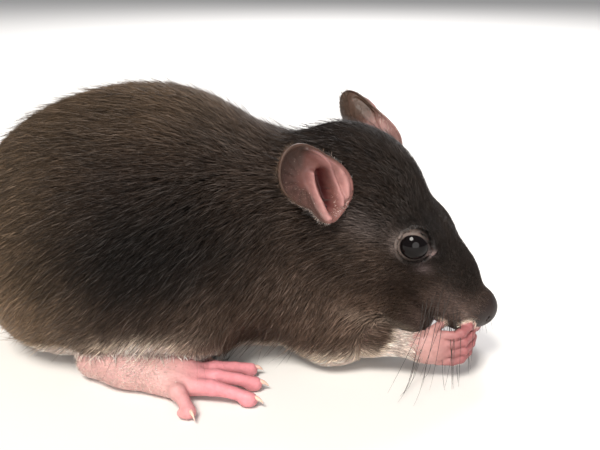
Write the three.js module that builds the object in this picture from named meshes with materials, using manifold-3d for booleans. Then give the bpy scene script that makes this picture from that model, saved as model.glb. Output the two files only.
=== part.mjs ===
import * as THREE from "three";
import Module from "manifold-3d";

// A life-size still model of a crouching rat with round, low-set ears. Millimetres, X towards the nose, Y to the
// animal's left, Z up, floor at z = 0. The forms are written round the spine in a working frame; BELLY_X carries them
// so that the middle of the belly's flat is the origin.
const BELLY_X = 32;
const GAP = 0.3; // clearance left where one piece is cut from its neighbour

// ---- driving dimensions ----
const TRUNK_STEP = 3; // mesh step on the trunk
const TRUNK_FACES = 1300;
const HEAD_STEP = 1.8; // mesh step on the head and neck
const HEAD_FACES = 1780;
const HAND_FACES = 390;
const FOOT_FACES = 660;
const HEAD_AT = [11.1, -5.7, 38.6]; // middle of the skull
const HEAD_YAW = -21; // degrees, turned to the right
const HEAD_PITCH = -33; // nose down
const EYE_RADIUS = 3.9;
const EYE_AT = [19.2, 8.4, 3.3]; // forward, out, up from the skull's middle
const EAR_REACH = 8.8; // base to the middle of the bowl
const EAR_DEPTH = 4.3; // depth of the bowl
// the pinna's edge: angle round the bowl from the tip towards the front, and reach
const EAR_EDGE = [[0, 11], [15, 9.9], [30, 8.3], [55, 6.8], [80, 6.8], [104, 7.7], [121, 8.8], [147, 9.7], [174, 9.2], [199, 9.2], [215, 7.8], [235, 6], [260, 6], [285, 6.8], [301, 7.8], [316, 9], [330, 10], [345, 10.8], [360, 11]];
const EAR_SHEET = 1.0; // thickness
const TAIL_LENGTH = 168;
const TAIL_ROOT = 4.7; // radius
const TAIL_TIP = 1.1;
const TAIL_START = [-71, 0];
const TAIL_PIECES = 4;
const TAIL_STATIONS = 24;

const wasm = await Module();
wasm.setup();

// ---- small vector helpers ----
const add = (a, b, s = 1) => [a[0] + b[0] * s, a[1] + b[1] * s, a[2] + b[2] * s];
const sub = (a, b) => [a[0] - b[0], a[1] - b[1], a[2] - b[2]];
const dot = (a, b) => a[0] * b[0] + a[1] * b[1] + a[2] * b[2];
const cross = (a, b) => [a[1] * b[2] - a[2] * b[1], a[2] * b[0] - a[0] * b[2], a[0] * b[1] - a[1] * b[0]];
const unit = (a) => {
  const n = Math.hypot(...a);
  return [a[0] / n, a[1] / n, a[2] / n];
};
const rad = (d) => (d * Math.PI) / 180;
const clamp = (v, a, b) => Math.min(b, Math.max(a, v));

// ---- the head's own frame ----
const FWD = [
  Math.cos(rad(HEAD_PITCH)) * Math.cos(rad(HEAD_YAW)),
  Math.cos(rad(HEAD_PITCH)) * Math.sin(rad(HEAD_YAW)),
  Math.sin(rad(HEAD_PITCH)),
];
const LEFT = [-Math.sin(rad(HEAD_YAW)), Math.cos(rad(HEAD_YAW)), 0];
const UP = cross(FWD, LEFT);
const toHead = (p) => {
  const d = sub(p, HEAD_AT);
  return [dot(d, FWD), dot(d, LEFT), dot(d, UP)];
};
const fromHead = (q) => add(add(add(HEAD_AT, FWD, q[0]), LEFT, q[1]), UP, q[2]);
// the same point on the other side of the head's middle plane
const across = (p) => add(p, LEFT, -2 * dot(sub(p, HEAD_AT), LEFT));

// ---- forms: distance to an egg and to a tapering rod, and soft joins ----
const egg = (p, c, r) => {
  const a = (p[0] - c[0]) / r[0],
    b = (p[1] - c[1]) / r[1],
    d = (p[2] - c[2]) / r[2];
  const k0 = Math.hypot(a, b, d),
    k1 = Math.hypot(a / r[0], b / r[1], d / r[2]) + 1e-9;
  return (k0 * (k0 - 1)) / k1;
};
const rod = (p, a, b, ra, rb) => {
  const ba = sub(b, a),
    l2 = dot(ba, ba),
    rr = ra - rb,
    a2 = l2 - rr * rr,
    il2 = 1 / l2;
  const pa = sub(p, a),
    y = dot(pa, ba),
    z = y - l2;
  const t = [pa[0] * l2 - ba[0] * y, pa[1] * l2 - ba[1] * y, pa[2] * l2 - ba[2] * y];
  const x2 = dot(t, t),
    y2 = y * y * l2,
    z2 = z * z * l2,
    k = Math.sign(rr) * rr * rr * x2;
  if (Math.sign(z) * a2 * z2 > k) return Math.sqrt(x2 + z2) * il2 - rb;
  if (Math.sign(y) * a2 * y2 < k) return Math.sqrt(x2 + y2) * il2 - ra;
  return (Math.sqrt(x2 * a2 * il2) + y * rr) * il2 - ra;
};
const soft = (a, b, k) => {
  const h = clamp(0.5 + (0.5 * (b - a)) / k, 0, 1);
  return b * (1 - h) + a * h - k * h * (1 - h);
};
const softCut = (a, b, k) => -soft(-a, b, k); // a with b taken away

// ---- trunk, thighs and upper arms, to the outside of the coat ----
function bodyForm(p) {
  let d = egg(p, [-49.5, 0, 29], [28.5, 26.5, 29.3]); // rump
  d = soft(d, egg(p, [-31, 0, 34.5], [27.5, 26, 27.5]), 14); // back
  d = soft(d, egg(p, [-6, -1, 27.5], [23, 19.5, 22.5]), 12); // shoulders
  d = soft(d, egg(p, [-34, 0, 20], [32, 25, 20.5]), 10); // belly
  d = soft(d, egg(p, [-13, -0.5, 15.5], [25, 19.5, 15.2]), 9);
  d = soft(d, egg(p, [7, -4, 14.5], [13.5, 13.5, 13.5]), 8); // breast
  d = soft(d, rod(p, [-60, 0, 22], [-76, 0, 11], 15, 5.5), 7); // root of the tail
  d = soft(d, rod(p, [-4, -1, 33], [9, -4.8, 37], 16, 13), 8); // nape
  d = soft(d, rod(p, [-4, -1, 22], [10, -5, 26], 17, 13), 8); // throat
  for (const s of [-1, 1]) {
    d = soft(d, egg(p, [-45, s * 15, 23], [23, 14, 20]), 8); // thigh
    d = soft(d, egg(p, [-57.5, s * 10.5, 18], [16, 13, 16]), 8); // buttock
    d = soft(d, rod(p, [-42, s * 17, 19], [-25, s * 20.5, 13.5], 12, 8.5), 8); // knee
    d = soft(d, rod(p, [-24, s * 21, 11.5], [-45, s * 23.5, 8.5], 8, 5), 5); // shank
  }
  d = soft(d, rod(p, [-10, -12.5, 22], [7, -17, 9.5], 11, 8.6), 7); // right upper arm
  d = soft(d, rod(p, [8, -17.3, 8.6], [15, -19, 8.6], 8, 5.6), 4);
  d = soft(d, rod(p, [-10, 12, 22], [8, 9, 9.5], 11, 8.6), 7); // left upper arm
  d = soft(d, rod(p, [9, 9, 8.6], [17, 4, 8.4], 8, 5.6), 4);
  return d;
}

// ---- head, in its own frame ----
function headForm(p) {
  const q = toHead(p);
  let d = egg(q, [0, 0, 3.6], [15, 13, 13]); // skull
  d = soft(d, rod(q, [7, 0, 2], [29, 0, -1.5], 11.6, 7.6), 5); // face
  d = soft(d, rod(q, [26, 0, -2.6], [38, 0, -3.6], 7.4, 5), 4); // muzzle
  d = soft(d, egg(q, [41, 0, -2.8], [3, 3.2, 3.4]), 3.5); // nose
  for (const s of [-1, 1]) {
    d = soft(d, egg(q, [34.5, s * 4, -4.9], [7.5, 4.5, 4.8]), 2.5); // whisker pad
    d = soft(d, egg(q, [8, s * 6.5, -5], [12.5, 7.8, 10]), 6); // cheek
    d = soft(d, egg(q, [18, s * 6.3, 4.6], [7, 3.8, 3.8]), 4); // brow
  }
  d = soft(d, rod(q, [6, 0, -10.7], [30.2, 0, -13.9], 9.6, 4.3), 4.5); // lower jaw
  return d;
}

// ---- ears: base, direction to the tip, direction the bowl faces, in the head's frame ----
const EARS = {
  right: { s: -1, base: [3.6, -15.9, 1.6], tip: [-15, -7.8, 8.6], face: [0.5, -0.79, 0.64] },
  left: { s: 1, base: [3.9, 13.4, 8.9], tip: [-17.4, 1.0, 4.5], face: [0.28, 0.86, 0.43] },
};
for (const e of Object.values(EARS)) {
  e.along = unit(e.tip);
  e.out = unit(add(e.face, e.along, -dot(e.face, e.along)));
  e.side = cross(e.out, e.along).map((v) => v * e.s); // towards the front edge
  e.mid = add(add(e.base, e.along, EAR_REACH), e.out, 0.6);
}
// the room left in the fur for the bowl
function earRoom(p) {
  const q = toHead(p);
  let d = 1e3;
  for (const e of Object.values(EARS)) {
    const c = add(add(e.mid, e.along, -1.2), e.out, 1.5),
      r = sub(q, c);
    d = Math.min(d, egg([dot(r, e.along), dot(r, e.side), dot(r, e.out)], [0, 0, 0], [8.6, 6.9, 4.9]));
  }
  return d;
}
const furForm = (p) => softCut(soft(bodyForm(p), headForm(p), 8), earRoom(p), 1.5);

// ---- a closed mesh over a form, on a grid of step h, closed off inside the box ----
function meshForm(open, lo, hi, h) {
  const edge = 1.5 * h;
  const form = (p) => {
    let d = open(p);
    for (let a = 0; a < 3; a++) d = Math.max(d, lo[a] + edge - p[a], p[a] - hi[a] + edge);
    return d;
  };
  const n = [0, 1, 2].map((i) => Math.ceil((hi[i] - lo[i]) / h) + 1),
    [nx, ny, nz] = n;
  const id = (i, j, k) => (k * ny + j) * nx + i;
  const at = (i, j, k) => [lo[0] + i * h, lo[1] + j * h, lo[2] + k * h];
  const val = new Float64Array(nx * ny * nz);
  for (let k = 0; k < nz; k++) for (let j = 0; j < ny; j++) for (let i = 0; i < nx; i++) val[id(i, j, k)] = form(at(i, j, k));
  const cell = new Int32Array(nx * ny * nz).fill(-1),
    pos = [];
  for (let k = 0; k + 1 < nz; k++)
    for (let j = 0; j + 1 < ny; j++)
      for (let i = 0; i + 1 < nx; i++) {
        const c = [];
        for (let m = 0; m < 8; m++) c.push(val[id(i + (m & 1), j + ((m >> 1) & 1), k + (m >> 2))]);
        const inside = c.filter((v) => v < 0).length;
        if (!inside || inside === 8) continue;
        const sum = [0, 0, 0];
        let count = 0;
        for (let m = 0; m < 8; m++)
          for (const bit of [1, 2, 4]) {
            const o = m | bit;
            if (o === m || c[m] < 0 === c[o] < 0) continue;
            const t = c[m] / (c[m] - c[o]);
            for (let a = 0; a < 3; a++) {
              const u = (m >> a) & 1,
                w = (o >> a) & 1;
              sum[a] += u + (w - u) * t;
            }
            count++;
          }
        const mid = add(at(i, j, k), [h / 2, h / 2, h / 2]);
        let p = add(at(i, j, k), sum, h / count);
        for (let r = 0; r < 4; r++) {
          // pulled onto the form
          const f = form(p),
            e = 0.05,
            g = [0, 1, 2].map((a) => {
              const u = [...p],
                w = [...p];
              u[a] += e;
              w[a] -= e;
              return (form(u) - form(w)) / (2 * e);
            }),
            gg = dot(g, g);
          if (gg < 1e-6) break;
          p = add(p, g, -f / gg);
          p = p.map((v, a) => clamp(v, mid[a] - h * 0.5, mid[a] + h * 0.5));
        }
        cell[id(i, j, k)] = pos.length / 3;
        pos.push(...p);
      }
  const tri = [];
  const P = (v) => pos.slice(v * 3, v * 3 + 3);
  const far = (a, b) => Math.hypot(...sub(P(a), P(b)));
  const quad = (a, b, c, d) => {
    if (far(a, c) <= far(b, d)) tri.push(a, b, c, a, c, d);
    else tri.push(a, b, d, b, c, d);
  };
  for (let k = 1; k + 1 < nz; k++)
    for (let j = 1; j + 1 < ny; j++)
      for (let i = 1; i + 1 < nx; i++) {
        const v = val[id(i, j, k)] < 0;
        const sides = [
          [id(i + 1, j, k), [0, 1, 0], [0, 0, 1]],
          [id(i, j + 1, k), [0, 0, 1], [1, 0, 0]],
          [id(i, j, k + 1), [1, 0, 0], [0, 1, 0]],
        ];
        for (const [o, u, w] of sides) {
          if (val[o] < 0 === v) continue;
          const a = cell[id(i - u[0] - w[0], j - u[1] - w[1], k - u[2] - w[2])],
            b = cell[id(i - w[0], j - w[1], k - w[2])],
            c = cell[id(i, j, k)],
            d = cell[id(i - u[0], j - u[1], k - u[2])];
          if (v) quad(a, b, c, d);
          else quad(a, d, c, b);
        }
      }
  return { pos, tri };
}

// fewer faces where the form is flat: edges are collapsed in order of how far that moves the surface
function thin(mesh, faces) {
  const { pos, tri } = mesh,
    nv = pos.length / 3,
    P = (v) => [pos[v * 3], pos[v * 3 + 1], pos[v * 3 + 2]];
  const T = [],
    of = Array.from({ length: nv }, () => new Set()),
    Q = Array.from({ length: nv }, () => new Float64Array(10)),
    stamp = new Int32Array(nv);
  for (let i = 0; i < tri.length; i += 3) {
    const t = [tri[i], tri[i + 1], tri[i + 2]],
      [a, b, c] = t.map(P),
      x = cross(sub(b, a), sub(c, a)),
      area = Math.hypot(...x) / 2,
      n = unit(x),
      d = -dot(n, a),
      q = [n[0] * n[0], n[0] * n[1], n[0] * n[2], n[0] * d, n[1] * n[1], n[1] * n[2], n[1] * d, n[2] * n[2], n[2] * d, d * d];
    for (const v of t) {
      of[v].add(T.length);
      for (let k = 0; k < 10; k++) Q[v][k] += q[k] * area;
    }
    T.push(t);
  }
  const error = (q, p) => {
    const [x, y, z] = p;
    return q[0] * x * x + 2 * q[1] * x * y + 2 * q[2] * x * z + 2 * q[3] * x + q[4] * y * y + 2 * q[5] * y * z + 2 * q[6] * y + q[7] * z * z + 2 * q[8] * z + q[9];
  };
  const around = (v) => {
    const s = new Set();
    for (const t of of[v]) for (const w of T[t]) if (w !== v) s.add(w);
    return s;
  };
  const cost = (u, v) => {
    const q = Q[u].map((x, k) => x + Q[v][k]),
      a = P(u),
      b = P(v),
      m = add(a, sub(b, a), 0.5),
      l = Math.hypot(...sub(a, b));
    let best = [Infinity, a];
    for (const p of [a, b, m]) {
      const e = error(q, p);
      if (e < best[0]) best = [e, p];
    }
    return [best[0] + 2e-3 * l ** 3, best[1]];
  };
  // a heap of candidate edges
  const heap = [];
  const less = (a, b) => heap[a][0] < heap[b][0];
  const swap = (a, b) => ([heap[a], heap[b]] = [heap[b], heap[a]]);
  const push = (u, v) => {
    const [c, p] = cost(u, v);
    heap.push([c, u, v, stamp[u], stamp[v], p]);
    for (let i = heap.length - 1; i && less(i, (i - 1) >> 1); i = (i - 1) >> 1) swap(i, (i - 1) >> 1);
  };
  const pop = () => {
    const top = heap[0],
      last = heap.pop();
    if (heap.length) {
      heap[0] = last;
      for (let i = 0; ; ) {
        let m = i;
        for (const c of [2 * i + 1, 2 * i + 2]) if (c < heap.length && less(c, m)) m = c;
        if (m === i) break;
        swap(i, m);
        i = m;
      }
    }
    return top;
  };
  for (const t of T) for (let k = 0; k < 3; k++) if (t[k] < t[(k + 1) % 3]) push(t[k], t[(k + 1) % 3]);
  let left = T.length;
  while (left > faces && heap.length) {
    const [, u, v, su, sv, p] = pop();
    if (stamp[u] !== su || stamp[v] !== sv || !of[u].size || !of[v].size) continue;
    const nu = around(u),
      nb = around(v);
    if ([...nu].filter((w) => nb.has(w)).length !== 2) continue;
    let folds = false;
    for (const [w, o] of [[u, v], [v, u]])
      for (const t of of[w]) {
        if (T[t].includes(o)) continue;
        const old = T[t].map(P),
          now = T[t].map((x) => (x === w ? p : P(x))),
          n0 = cross(sub(old[1], old[0]), sub(old[2], old[0])),
          n1 = cross(sub(now[1], now[0]), sub(now[2], now[0]));
        if (dot(n0, n1) < 0.5 * Math.hypot(...n0) * Math.hypot(...n1) || Math.hypot(...n1) < 1e-3) folds = true;
      }
    if (folds) continue;
    for (const t of [...of[v]]) {
      if (T[t].includes(u)) {
        for (const w of T[t]) of[w].delete(t);
        T[t] = null;
        left--;
      } else {
        T[t] = T[t].map((w) => (w === v ? u : w));
        of[u].add(t);
      }
    }
    of[v].clear();
    pos[u * 3] = p[0];
    pos[u * 3 + 1] = p[1];
    pos[u * 3 + 2] = p[2];
    for (let k = 0; k < 10; k++) Q[u][k] += Q[v][k];
    stamp[v]++;
    for (const w of [u, ...around(u)]) stamp[w] += w === u ? 1 : 0;
    for (const w of around(u)) push(Math.min(u, w), Math.max(u, w));
  }
  const id = new Map(),
    np = [],
    nt = [];
  for (const t of T)
    if (t)
      for (const v of t) {
        if (!id.has(v)) {
          id.set(v, np.length / 3);
          np.push(...P(v));
        }
        nt.push(id.get(v));
      }
  return solid(np, nt);
}

// ---- solids ----
function solid(pos, tri) {
  const s = new wasm.Manifold(
    new wasm.Mesh({ numProp: 3, vertProperties: new Float32Array(pos), triVerts: new Uint32Array(tri) }),
  );
  return s.volume() < 0 ? solid(pos, tri.map((v, i) => (i % 3 === 1 ? tri[i + 1] : i % 3 === 2 ? tri[i - 1] : v))) : s;
}
// any three.js geometry as a solid
function solidOf(geometry) {
  const g = geometry.index ? geometry.toNonIndexed() : geometry,
    a = g.attributes.position.array,
    key = new Map(),
    pos = [],
    tri = [];
  for (let i = 0; i < a.length; i += 3) {
    const name = [a[i], a[i + 1], a[i + 2]].map((v) => Math.round(v * 1e4)).join();
    if (!key.has(name)) {
      key.set(name, pos.length / 3);
      pos.push(a[i], a[i + 1], a[i + 2]);
    }
    tri.push(key.get(name));
  }
  const kept = [];
  for (let i = 0; i < tri.length; i += 3)
    if (tri[i] !== tri[i + 1] && tri[i + 1] !== tri[i + 2] && tri[i] !== tri[i + 2]) kept.push(tri[i], tri[i + 1], tri[i + 2]);
  return solid(pos, kept);
}
// everything on the side of the plane the normal points to, from offset c on
function halfSpace(normal, c) {
  const size = 600,
    n = unit(normal),
    g = new THREE.BoxGeometry(size, size, size).translate(0, 0, size / 2);
  g.applyQuaternion(new THREE.Quaternion().setFromUnitVectors(new THREE.Vector3(0, 0, 1), new THREE.Vector3(...n)));
  g.translate(...n.map((v) => v * c));
  return solidOf(g);
}
const FLOOR = halfSpace([0, 0, -1], 0);
function eggSolid(c, r, grow = 0, segments = 14) {
  const g = new THREE.SphereGeometry(1, segments, Math.round(segments * 0.6)).scale(...r.map((v) => v + grow));
  g.translate(...c);
  return solidOf(g);
}
// the one large body of a cut piece, without crumbs
const main = (s) => s.decompose().reduce((a, b) => (b.volume() > a.volume() ? b : a));

// a rounded tube through stations [x, y, z, half width, half height]; flip mirrors it across the head's middle
function tube(stations, seg, { flip = false, ends = [0.55, 0.92] } = {}) {
  const S = stations.map((s) => [...s]);
  const dirAt = (i) => unit(sub(S[Math.min(i + 1, S.length - 1)].slice(0, 3), S[Math.max(i - 1, 0)].slice(0, 3)));
  const rings = [];
  const ring = (c, dir, w, h) => {
    const side = unit(cross([0, 0, 1], dir)),
      up = cross(dir, side),
      out = [];
    for (let k = 0; k < seg; k++) {
      const a = (2 * Math.PI * (k + 0.5)) / seg;
      out.push(add(add(c, side, Math.cos(a) * w), up, Math.sin(a) * h));
    }
    rings.push(out);
  };
  const last = S.length - 1,
    d0 = dirAt(0),
    d1 = dirAt(last);
  const end = (s, d, t, way) => {
    const k = Math.sqrt(1 - t * t);
    ring(add(s.slice(0, 3), d, way * Math.min(s[3], s[4]) * t), d, s[3] * k, s[4] * k);
  };
  if (ends.length > 1) for (const t of [...ends].reverse()) end(S[0], d0, t, -1);
  S.forEach((s, i) => ring(s.slice(0, 3), dirAt(i), s[3], s[4]));
  for (const t of ends) end(S[last], d1, t, 1);
  const pos = [],
    tri = [];
  rings.forEach((r) => r.forEach((p) => pos.push(...(flip ? across(p) : p))));
  for (let r = 0; r + 1 < rings.length; r++)
    for (let k = 0; k < seg; k++) {
      const a = r * seg + k,
        b = r * seg + ((k + 1) % seg);
      tri.push(a, b, b + seg, a, b + seg, a + seg);
    }
  for (let k = 1; k + 1 < seg; k++) {
    tri.push(0, k + 1, k);
    const o = (rings.length - 1) * seg;
    tri.push(o, o + k, o + k + 1);
  }
  return solid(pos, tri);
}

const lighter = (s, faces) => {
  const m = s.getMesh();
  return thin({ pos: [...m.vertProperties], tri: [...m.triVerts] }, faces);
};

// ---- hind feet: metatarsus, sole, five toes with claws ----
// toes: root, tip, radius at the root, radius at the tip
const TOES = [
  [[-28, 32.3, 2.6], [-23, 40.4, 1.8], 2.2, 1.6],
  [[-25, 32.5, 2.7], [-10.5, 36, 1.8], 2.1, 1.5],
  [[-24.5, 30, 3], [-9.8, 29.8, 1.8], 2.1, 1.5],
  [[-25, 27.5, 2.8], [-11.2, 23.9, 1.8], 2, 1.5],
  [[-30, 24.6, 2.8], [-22.6, 20.2, 1.8], 1.9, 1.5],
];
const CLAW = 3; // length
function hindFoot(s) {
  let foot = tube(
    [
      [-47, s * 24, 4.1, 4, 4.2],
      [-38, s * 26, 3.9, 4.5, 4.1],
      [-32, s * 28.2, 3.5, 5.6, 3.7],
      [-27, s * 29.3, 3, 6.1, 3.2],
      [-24, s * 29.8, 2.7, 4.8, 2.6],
    ],
    14,
  );
  for (const [a, b, r0, r1] of TOES) {
    const A = [a[0], s * a[1], a[2]],
      B = [b[0], s * b[1], b[2]],
      M = add(add(A, sub(B, A), 0.5), [0, 0, 0.9]),
      rm = (r0 + r1) / 2 - 0.15,
      D = unit(sub(B, A));
    foot = foot.add(tube([[...A, r0, r0], [...M, rm, rm], [...B, r1, r1]], 7, { ends: [0.8] }));
    const C0 = add(B, D, r1 * 0.5),
      C1 = add(C0, [D[0], D[1], -0.1], CLAW * 0.55),
      C2 = add(C0, [D[0], D[1], -0.34], CLAW);
    foot = foot.add(tube([[...C0, 0.8, 0.85], [...C1, 0.62, 0.7], [...C2, 0.3, 0.34]], 5, { ends: [] }));
  }
  return lighter(foot, FOOT_FACES).subtract(FLOOR);
}

// ---- forearms, and hands with four curled fingers ----
const ELBOW = { right: [10, -18.5, 8], left: [13, -23, 9] };
const FOREARM = [[25, -23.6, 7.8], 4.6, 2.8];
const FINGERS = 4;
function armTube(side) {
  const e = ELBOW[side],
    w = FOREARM[0];
  return tube(
    [
      [...e, FOREARM[1], FOREARM[1]],
      [...add(e, sub(w, e), 0.55), 3.9, 3.9],
      [...w, FOREARM[2], FOREARM[2] + 0.2],
      [...add(w, [3, -0.6, -0.2]), 2.7, 3.3],
    ],
    12,
    { flip: side === "left" },
  );
}
function hand(side) {
  const o = { flip: side === "left" };
  let h = tube(
    [
      [25.5, -23.7, 7.7, 2.5, 3],
      [28.5, -24.3, 7.5, 2.7, 3.8],
      [31.5, -24.6, 7.5, 2.5, 4],
      [33.4, -24.7, 7.6, 1.9, 3.7],
    ],
    12,
    o,
  );
  for (let k = 0; k < FINGERS; k++) {
    const z = 4.9 + 1.85 * k,
      bend = 0.5 * Math.abs(k - 1.5);
    h = h.add(
      tube(
        [
          [32, -24.7, z, 1.3, 1.3],
          [36.4 - bend, -24.8, z + 0.5, 1.3, 1.3],
          [38.4 - bend, -23, z + 1, 1.2, 1.2],
          [38.7 - bend, -20.9, z + 1.2, 0.95, 0.95],
        ],
        6,
        { ...o, ends: [0.8] },
      ),
    );
    h = h.add(
      tube(
        [
          [38.7 - bend, -20.6, z + 1.3, 0.55, 0.55],
          [38.4 - bend, -19.3, z + 1.1, 0.3, 0.34],
        ],
        5,
        { ...o, ends: [] },
      ),
    );
  }
  return lighter(h, HAND_FACES);
}

// ---- ear: a bowl of even thickness, its base narrower than its tip ----
const EAR_RINGS = 4,
  EAR_SEG = 20;
function ear(e, grow = 0) {
  const point = (r, a, lift) => {
    const deg = ((((a * 180) / Math.PI) % 360) + 360) % 360,
      k = EAR_EDGE.findIndex(([d]) => d > deg),
      [d0, r0] = EAR_EDGE[k - 1],
      [d1, r1] = EAR_EDGE[k],
      reach = r0 + ((r1 - r0) * (deg - d0)) / (d1 - d0) + grow,
      front = Math.max(0, Math.sin(a));
    const al = 1 + reach * r * Math.cos(a),
      be = -0.4 + reach * r * Math.sin(a),
      nu = -EAR_DEPTH * (1 - r * r) - 1.1 * front ** 1.5 * r ** 3 - EAR_SHEET / 2 + lift;
    return fromHead(add(add(add(e.mid, e.along, al), e.side, be), e.out, nu));
  };
  const pos = [],
    tri = [],
    lifts = [EAR_SHEET / 2 + grow, -EAR_SHEET / 2 - grow];
  const index = (layer, ring, k) => (ring === 0 ? layer : 2 + layer * EAR_RINGS * EAR_SEG + (ring - 1) * EAR_SEG + (((k % EAR_SEG) + EAR_SEG) % EAR_SEG));
  for (const l of lifts) pos.push(...point(0, 0, l));
  for (const l of lifts)
    for (let r = 1; r <= EAR_RINGS; r++)
      for (let k = 0; k < EAR_SEG; k++) pos.push(...point((r / EAR_RINGS) ** 0.85, (2 * Math.PI * k) / EAR_SEG, l));
  for (const l of [0, 1])
    for (let k = 0; k < EAR_SEG; k++) {
      const push = (a, b, c) => (l ? tri.push(a, c, b) : tri.push(a, b, c));
      push(index(l, 0, 0), index(l, 1, k), index(l, 1, k + 1));
      for (let r = 1; r < EAR_RINGS; r++) {
        push(index(l, r, k), index(l, r + 1, k), index(l, r + 1, k + 1));
        push(index(l, r, k), index(l, r + 1, k + 1), index(l, r, k + 1));
      }
    }
  for (let k = 0; k < EAR_SEG; k++) {
    const a = index(0, EAR_RINGS, k),
      b = index(0, EAR_RINGS, k + 1),
      c = index(1, EAR_RINGS, k + 1),
      d = index(1, EAR_RINGS, k);
    tri.push(a, d, b, b, d, c);
  }
  return solid(pos, tri);
}

// ---- tail: one curve lying on the floor, in lengths ----
function tailStations() {
  const out = [];
  let [x, y] = TAIL_START;
  const step = TAIL_LENGTH / TAIL_STATIONS;
  for (let i = 0; i <= TAIL_STATIONS; i++) {
    const u = i / TAIL_STATIONS,
      r = TAIL_ROOT + (TAIL_TIP - TAIL_ROOT) * u ** 0.9,
      lift = 6.2 * (1 - clamp(u / 0.16, 0, 1)) ** 2;
    out.push([x, y, r * 0.96 + lift, r, r]);
    const heading = Math.PI * 0.98 - 0.62 * Math.sin(u * 2.07 * Math.PI);
    x += step * Math.cos(heading);
    y += step * Math.sin(heading);
  }
  return out;
}

// ---- pieces ----
const group = new THREE.Group();
group.name = "rat";
const COLOURS = { coat: 0x463b33, skin: 0xd8a59b, ear: 0xa9837a, eye: 0x0b0908 };
function place(name, s, kind) {
  const m = s.getMesh(),
    n = m.numProp,
    v = new Float32Array(m.numVert * 3);
  for (let i = 0; i < m.numVert; i++) v.set(m.vertProperties.subarray(i * n, i * n + 3), i * 3);
  const g = new THREE.BufferGeometry().setAttribute("position", new THREE.BufferAttribute(v, 3)).setIndex(new THREE.BufferAttribute(m.triVerts, 1));
  g.computeVertexNormals();
  const mesh = new THREE.Mesh(g, new THREE.MeshStandardMaterial({ color: COLOURS[kind], roughness: kind === "eye" ? 0.08 : 0.7 }));
  mesh.name = name;
  mesh.position.set(BELLY_X, 0, 0);
  group.add(mesh);
}

const trunkWhole = thin(meshForm(furForm, [-96, -42, -9], [34, 42, 72], TRUNK_STEP), TRUNK_FACES).subtract(FLOOR);
const headWhole = thin(meshForm(furForm, [-26, -40, -8], [56, 34, 66], HEAD_STEP), HEAD_FACES).subtract(FLOOR);

// the neck's two planes and the plane under the throat
const NECK_BACK = { n: unit([0.93, -0.1, 0.36]), p: [-13, 0, 50] };
const NECK_FRONT = { n: unit([0.96, -0.27, 0.1]), p: [1, -2, 52] };
const THROAT = { n: unit([0.44, 0, 0.9]), p: [5.6, 0, 17.6] };
const planeSolid = (P, shift = 0) => halfSpace(P.n, dot(P.n, P.p) + shift);

const LIMBS = {
  thigh_right: [[-43, -27, 15], [25, 14, 21]],
  thigh_left: [[-43, 27, 15], [25, 14, 21]],
  upper_arm_right: [[4, -22, 9], [17, 12, 14.5]],
  upper_arm_left: [[4, 16, 9], [17, 12, 14.5]],
};
const rightHind = hindFoot(-1),
  leftHind = hindFoot(1);
const earSolids = { right: ear(EARS.right), left: ear(EARS.left) };
const earRooms = ear(EARS.right, GAP).add(ear(EARS.left, GAP));
const neckSide = planeSolid(NECK_BACK).intersect(planeSolid(THROAT));
const neckSideWide = planeSolid(NECK_BACK, -GAP).intersect(planeSolid(THROAT, -GAP));

const limbWide = Object.values(LIMBS)
  .map(([c, r]) => eggSolid(c, r, GAP))
  .reduce((a, b) => a.add(b));
const armWide = ["upper_arm_right", "upper_arm_left"].map((k) => eggSolid(...LIMBS[k], GAP)).reduce((a, b) => a.add(b));

// the trunk keeps what is left once limbs, neck and ears are cut out
place("trunk", main(trunkWhole.subtract(limbWide).subtract(neckSideWide).subtract(earRooms)), "coat");
for (const [name, [c, r]] of Object.entries(LIMBS))
  place(name, main(trunkWhole.intersect(eggSolid(c, r)).subtract(earRooms)), "coat");

const headNeck = headWhole.intersect(neckSide).subtract(armWide).subtract(earRooms);
const sockets = [-1, 1].map((s) => {
  const c = fromHead([EYE_AT[0], s * EYE_AT[1], EYE_AT[2]]);
  return eggSolid(c, [EYE_RADIUS, EYE_RADIUS, EYE_RADIUS], GAP);
});
place("head", main(headNeck.intersect(planeSolid(NECK_FRONT)).subtract(sockets[0]).subtract(sockets[1])), "coat");
place("neck", main(headNeck.subtract(planeSolid(NECK_FRONT, -GAP))), "coat");
for (const [name, s] of [["eye_right", -1], ["eye_left", 1]])
  place(name, eggSolid(fromHead([EYE_AT[0], s * EYE_AT[1], EYE_AT[2]]), [EYE_RADIUS, EYE_RADIUS, EYE_RADIUS]), "eye");
place("ear_right", earSolids.right, "ear");
place("ear_left", earSolids.left, "ear");

// bare parts are cut where they enter the coat
const coatWide = (lo, hi, faces) => thin(meshForm((p) => furForm(p) - 0.6, lo, hi, 2), faces);
const footCoatRight = coatWide([-60, -44, -8], [0, -6, 34], 700),
  footCoatLeft = coatWide([-60, 6, -8], [0, 44, 34], 700);
place("hind_foot_right", main(rightHind.subtract(footCoatRight)), "skin");
place("hind_foot_left", main(leftHind.subtract(footCoatLeft)), "skin");

const armCoat = coatWide([-14, -40, -8], [56, 34, 34], 1800);
for (const side of ["right", "left"]) {
  const wrist = FOREARM[0],
    n = unit(sub(wrist, ELBOW[side])),
    N = side === "left" ? unit(sub(across(add(wrist, n)), across(wrist))) : n,
    at = side === "left" ? across(add(wrist, n, 0.8)) : add(wrist, n, 0.8);
  const c = dot(N, at);
  place("forearm_" + side, main(armTube(side).subtract(armCoat).subtract(halfSpace(N, c - GAP)).subtract(FLOOR)), "skin");
  place("hand_" + side, main(hand(side).subtract(armCoat).intersect(halfSpace(N, c))), "skin");
}

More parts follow.
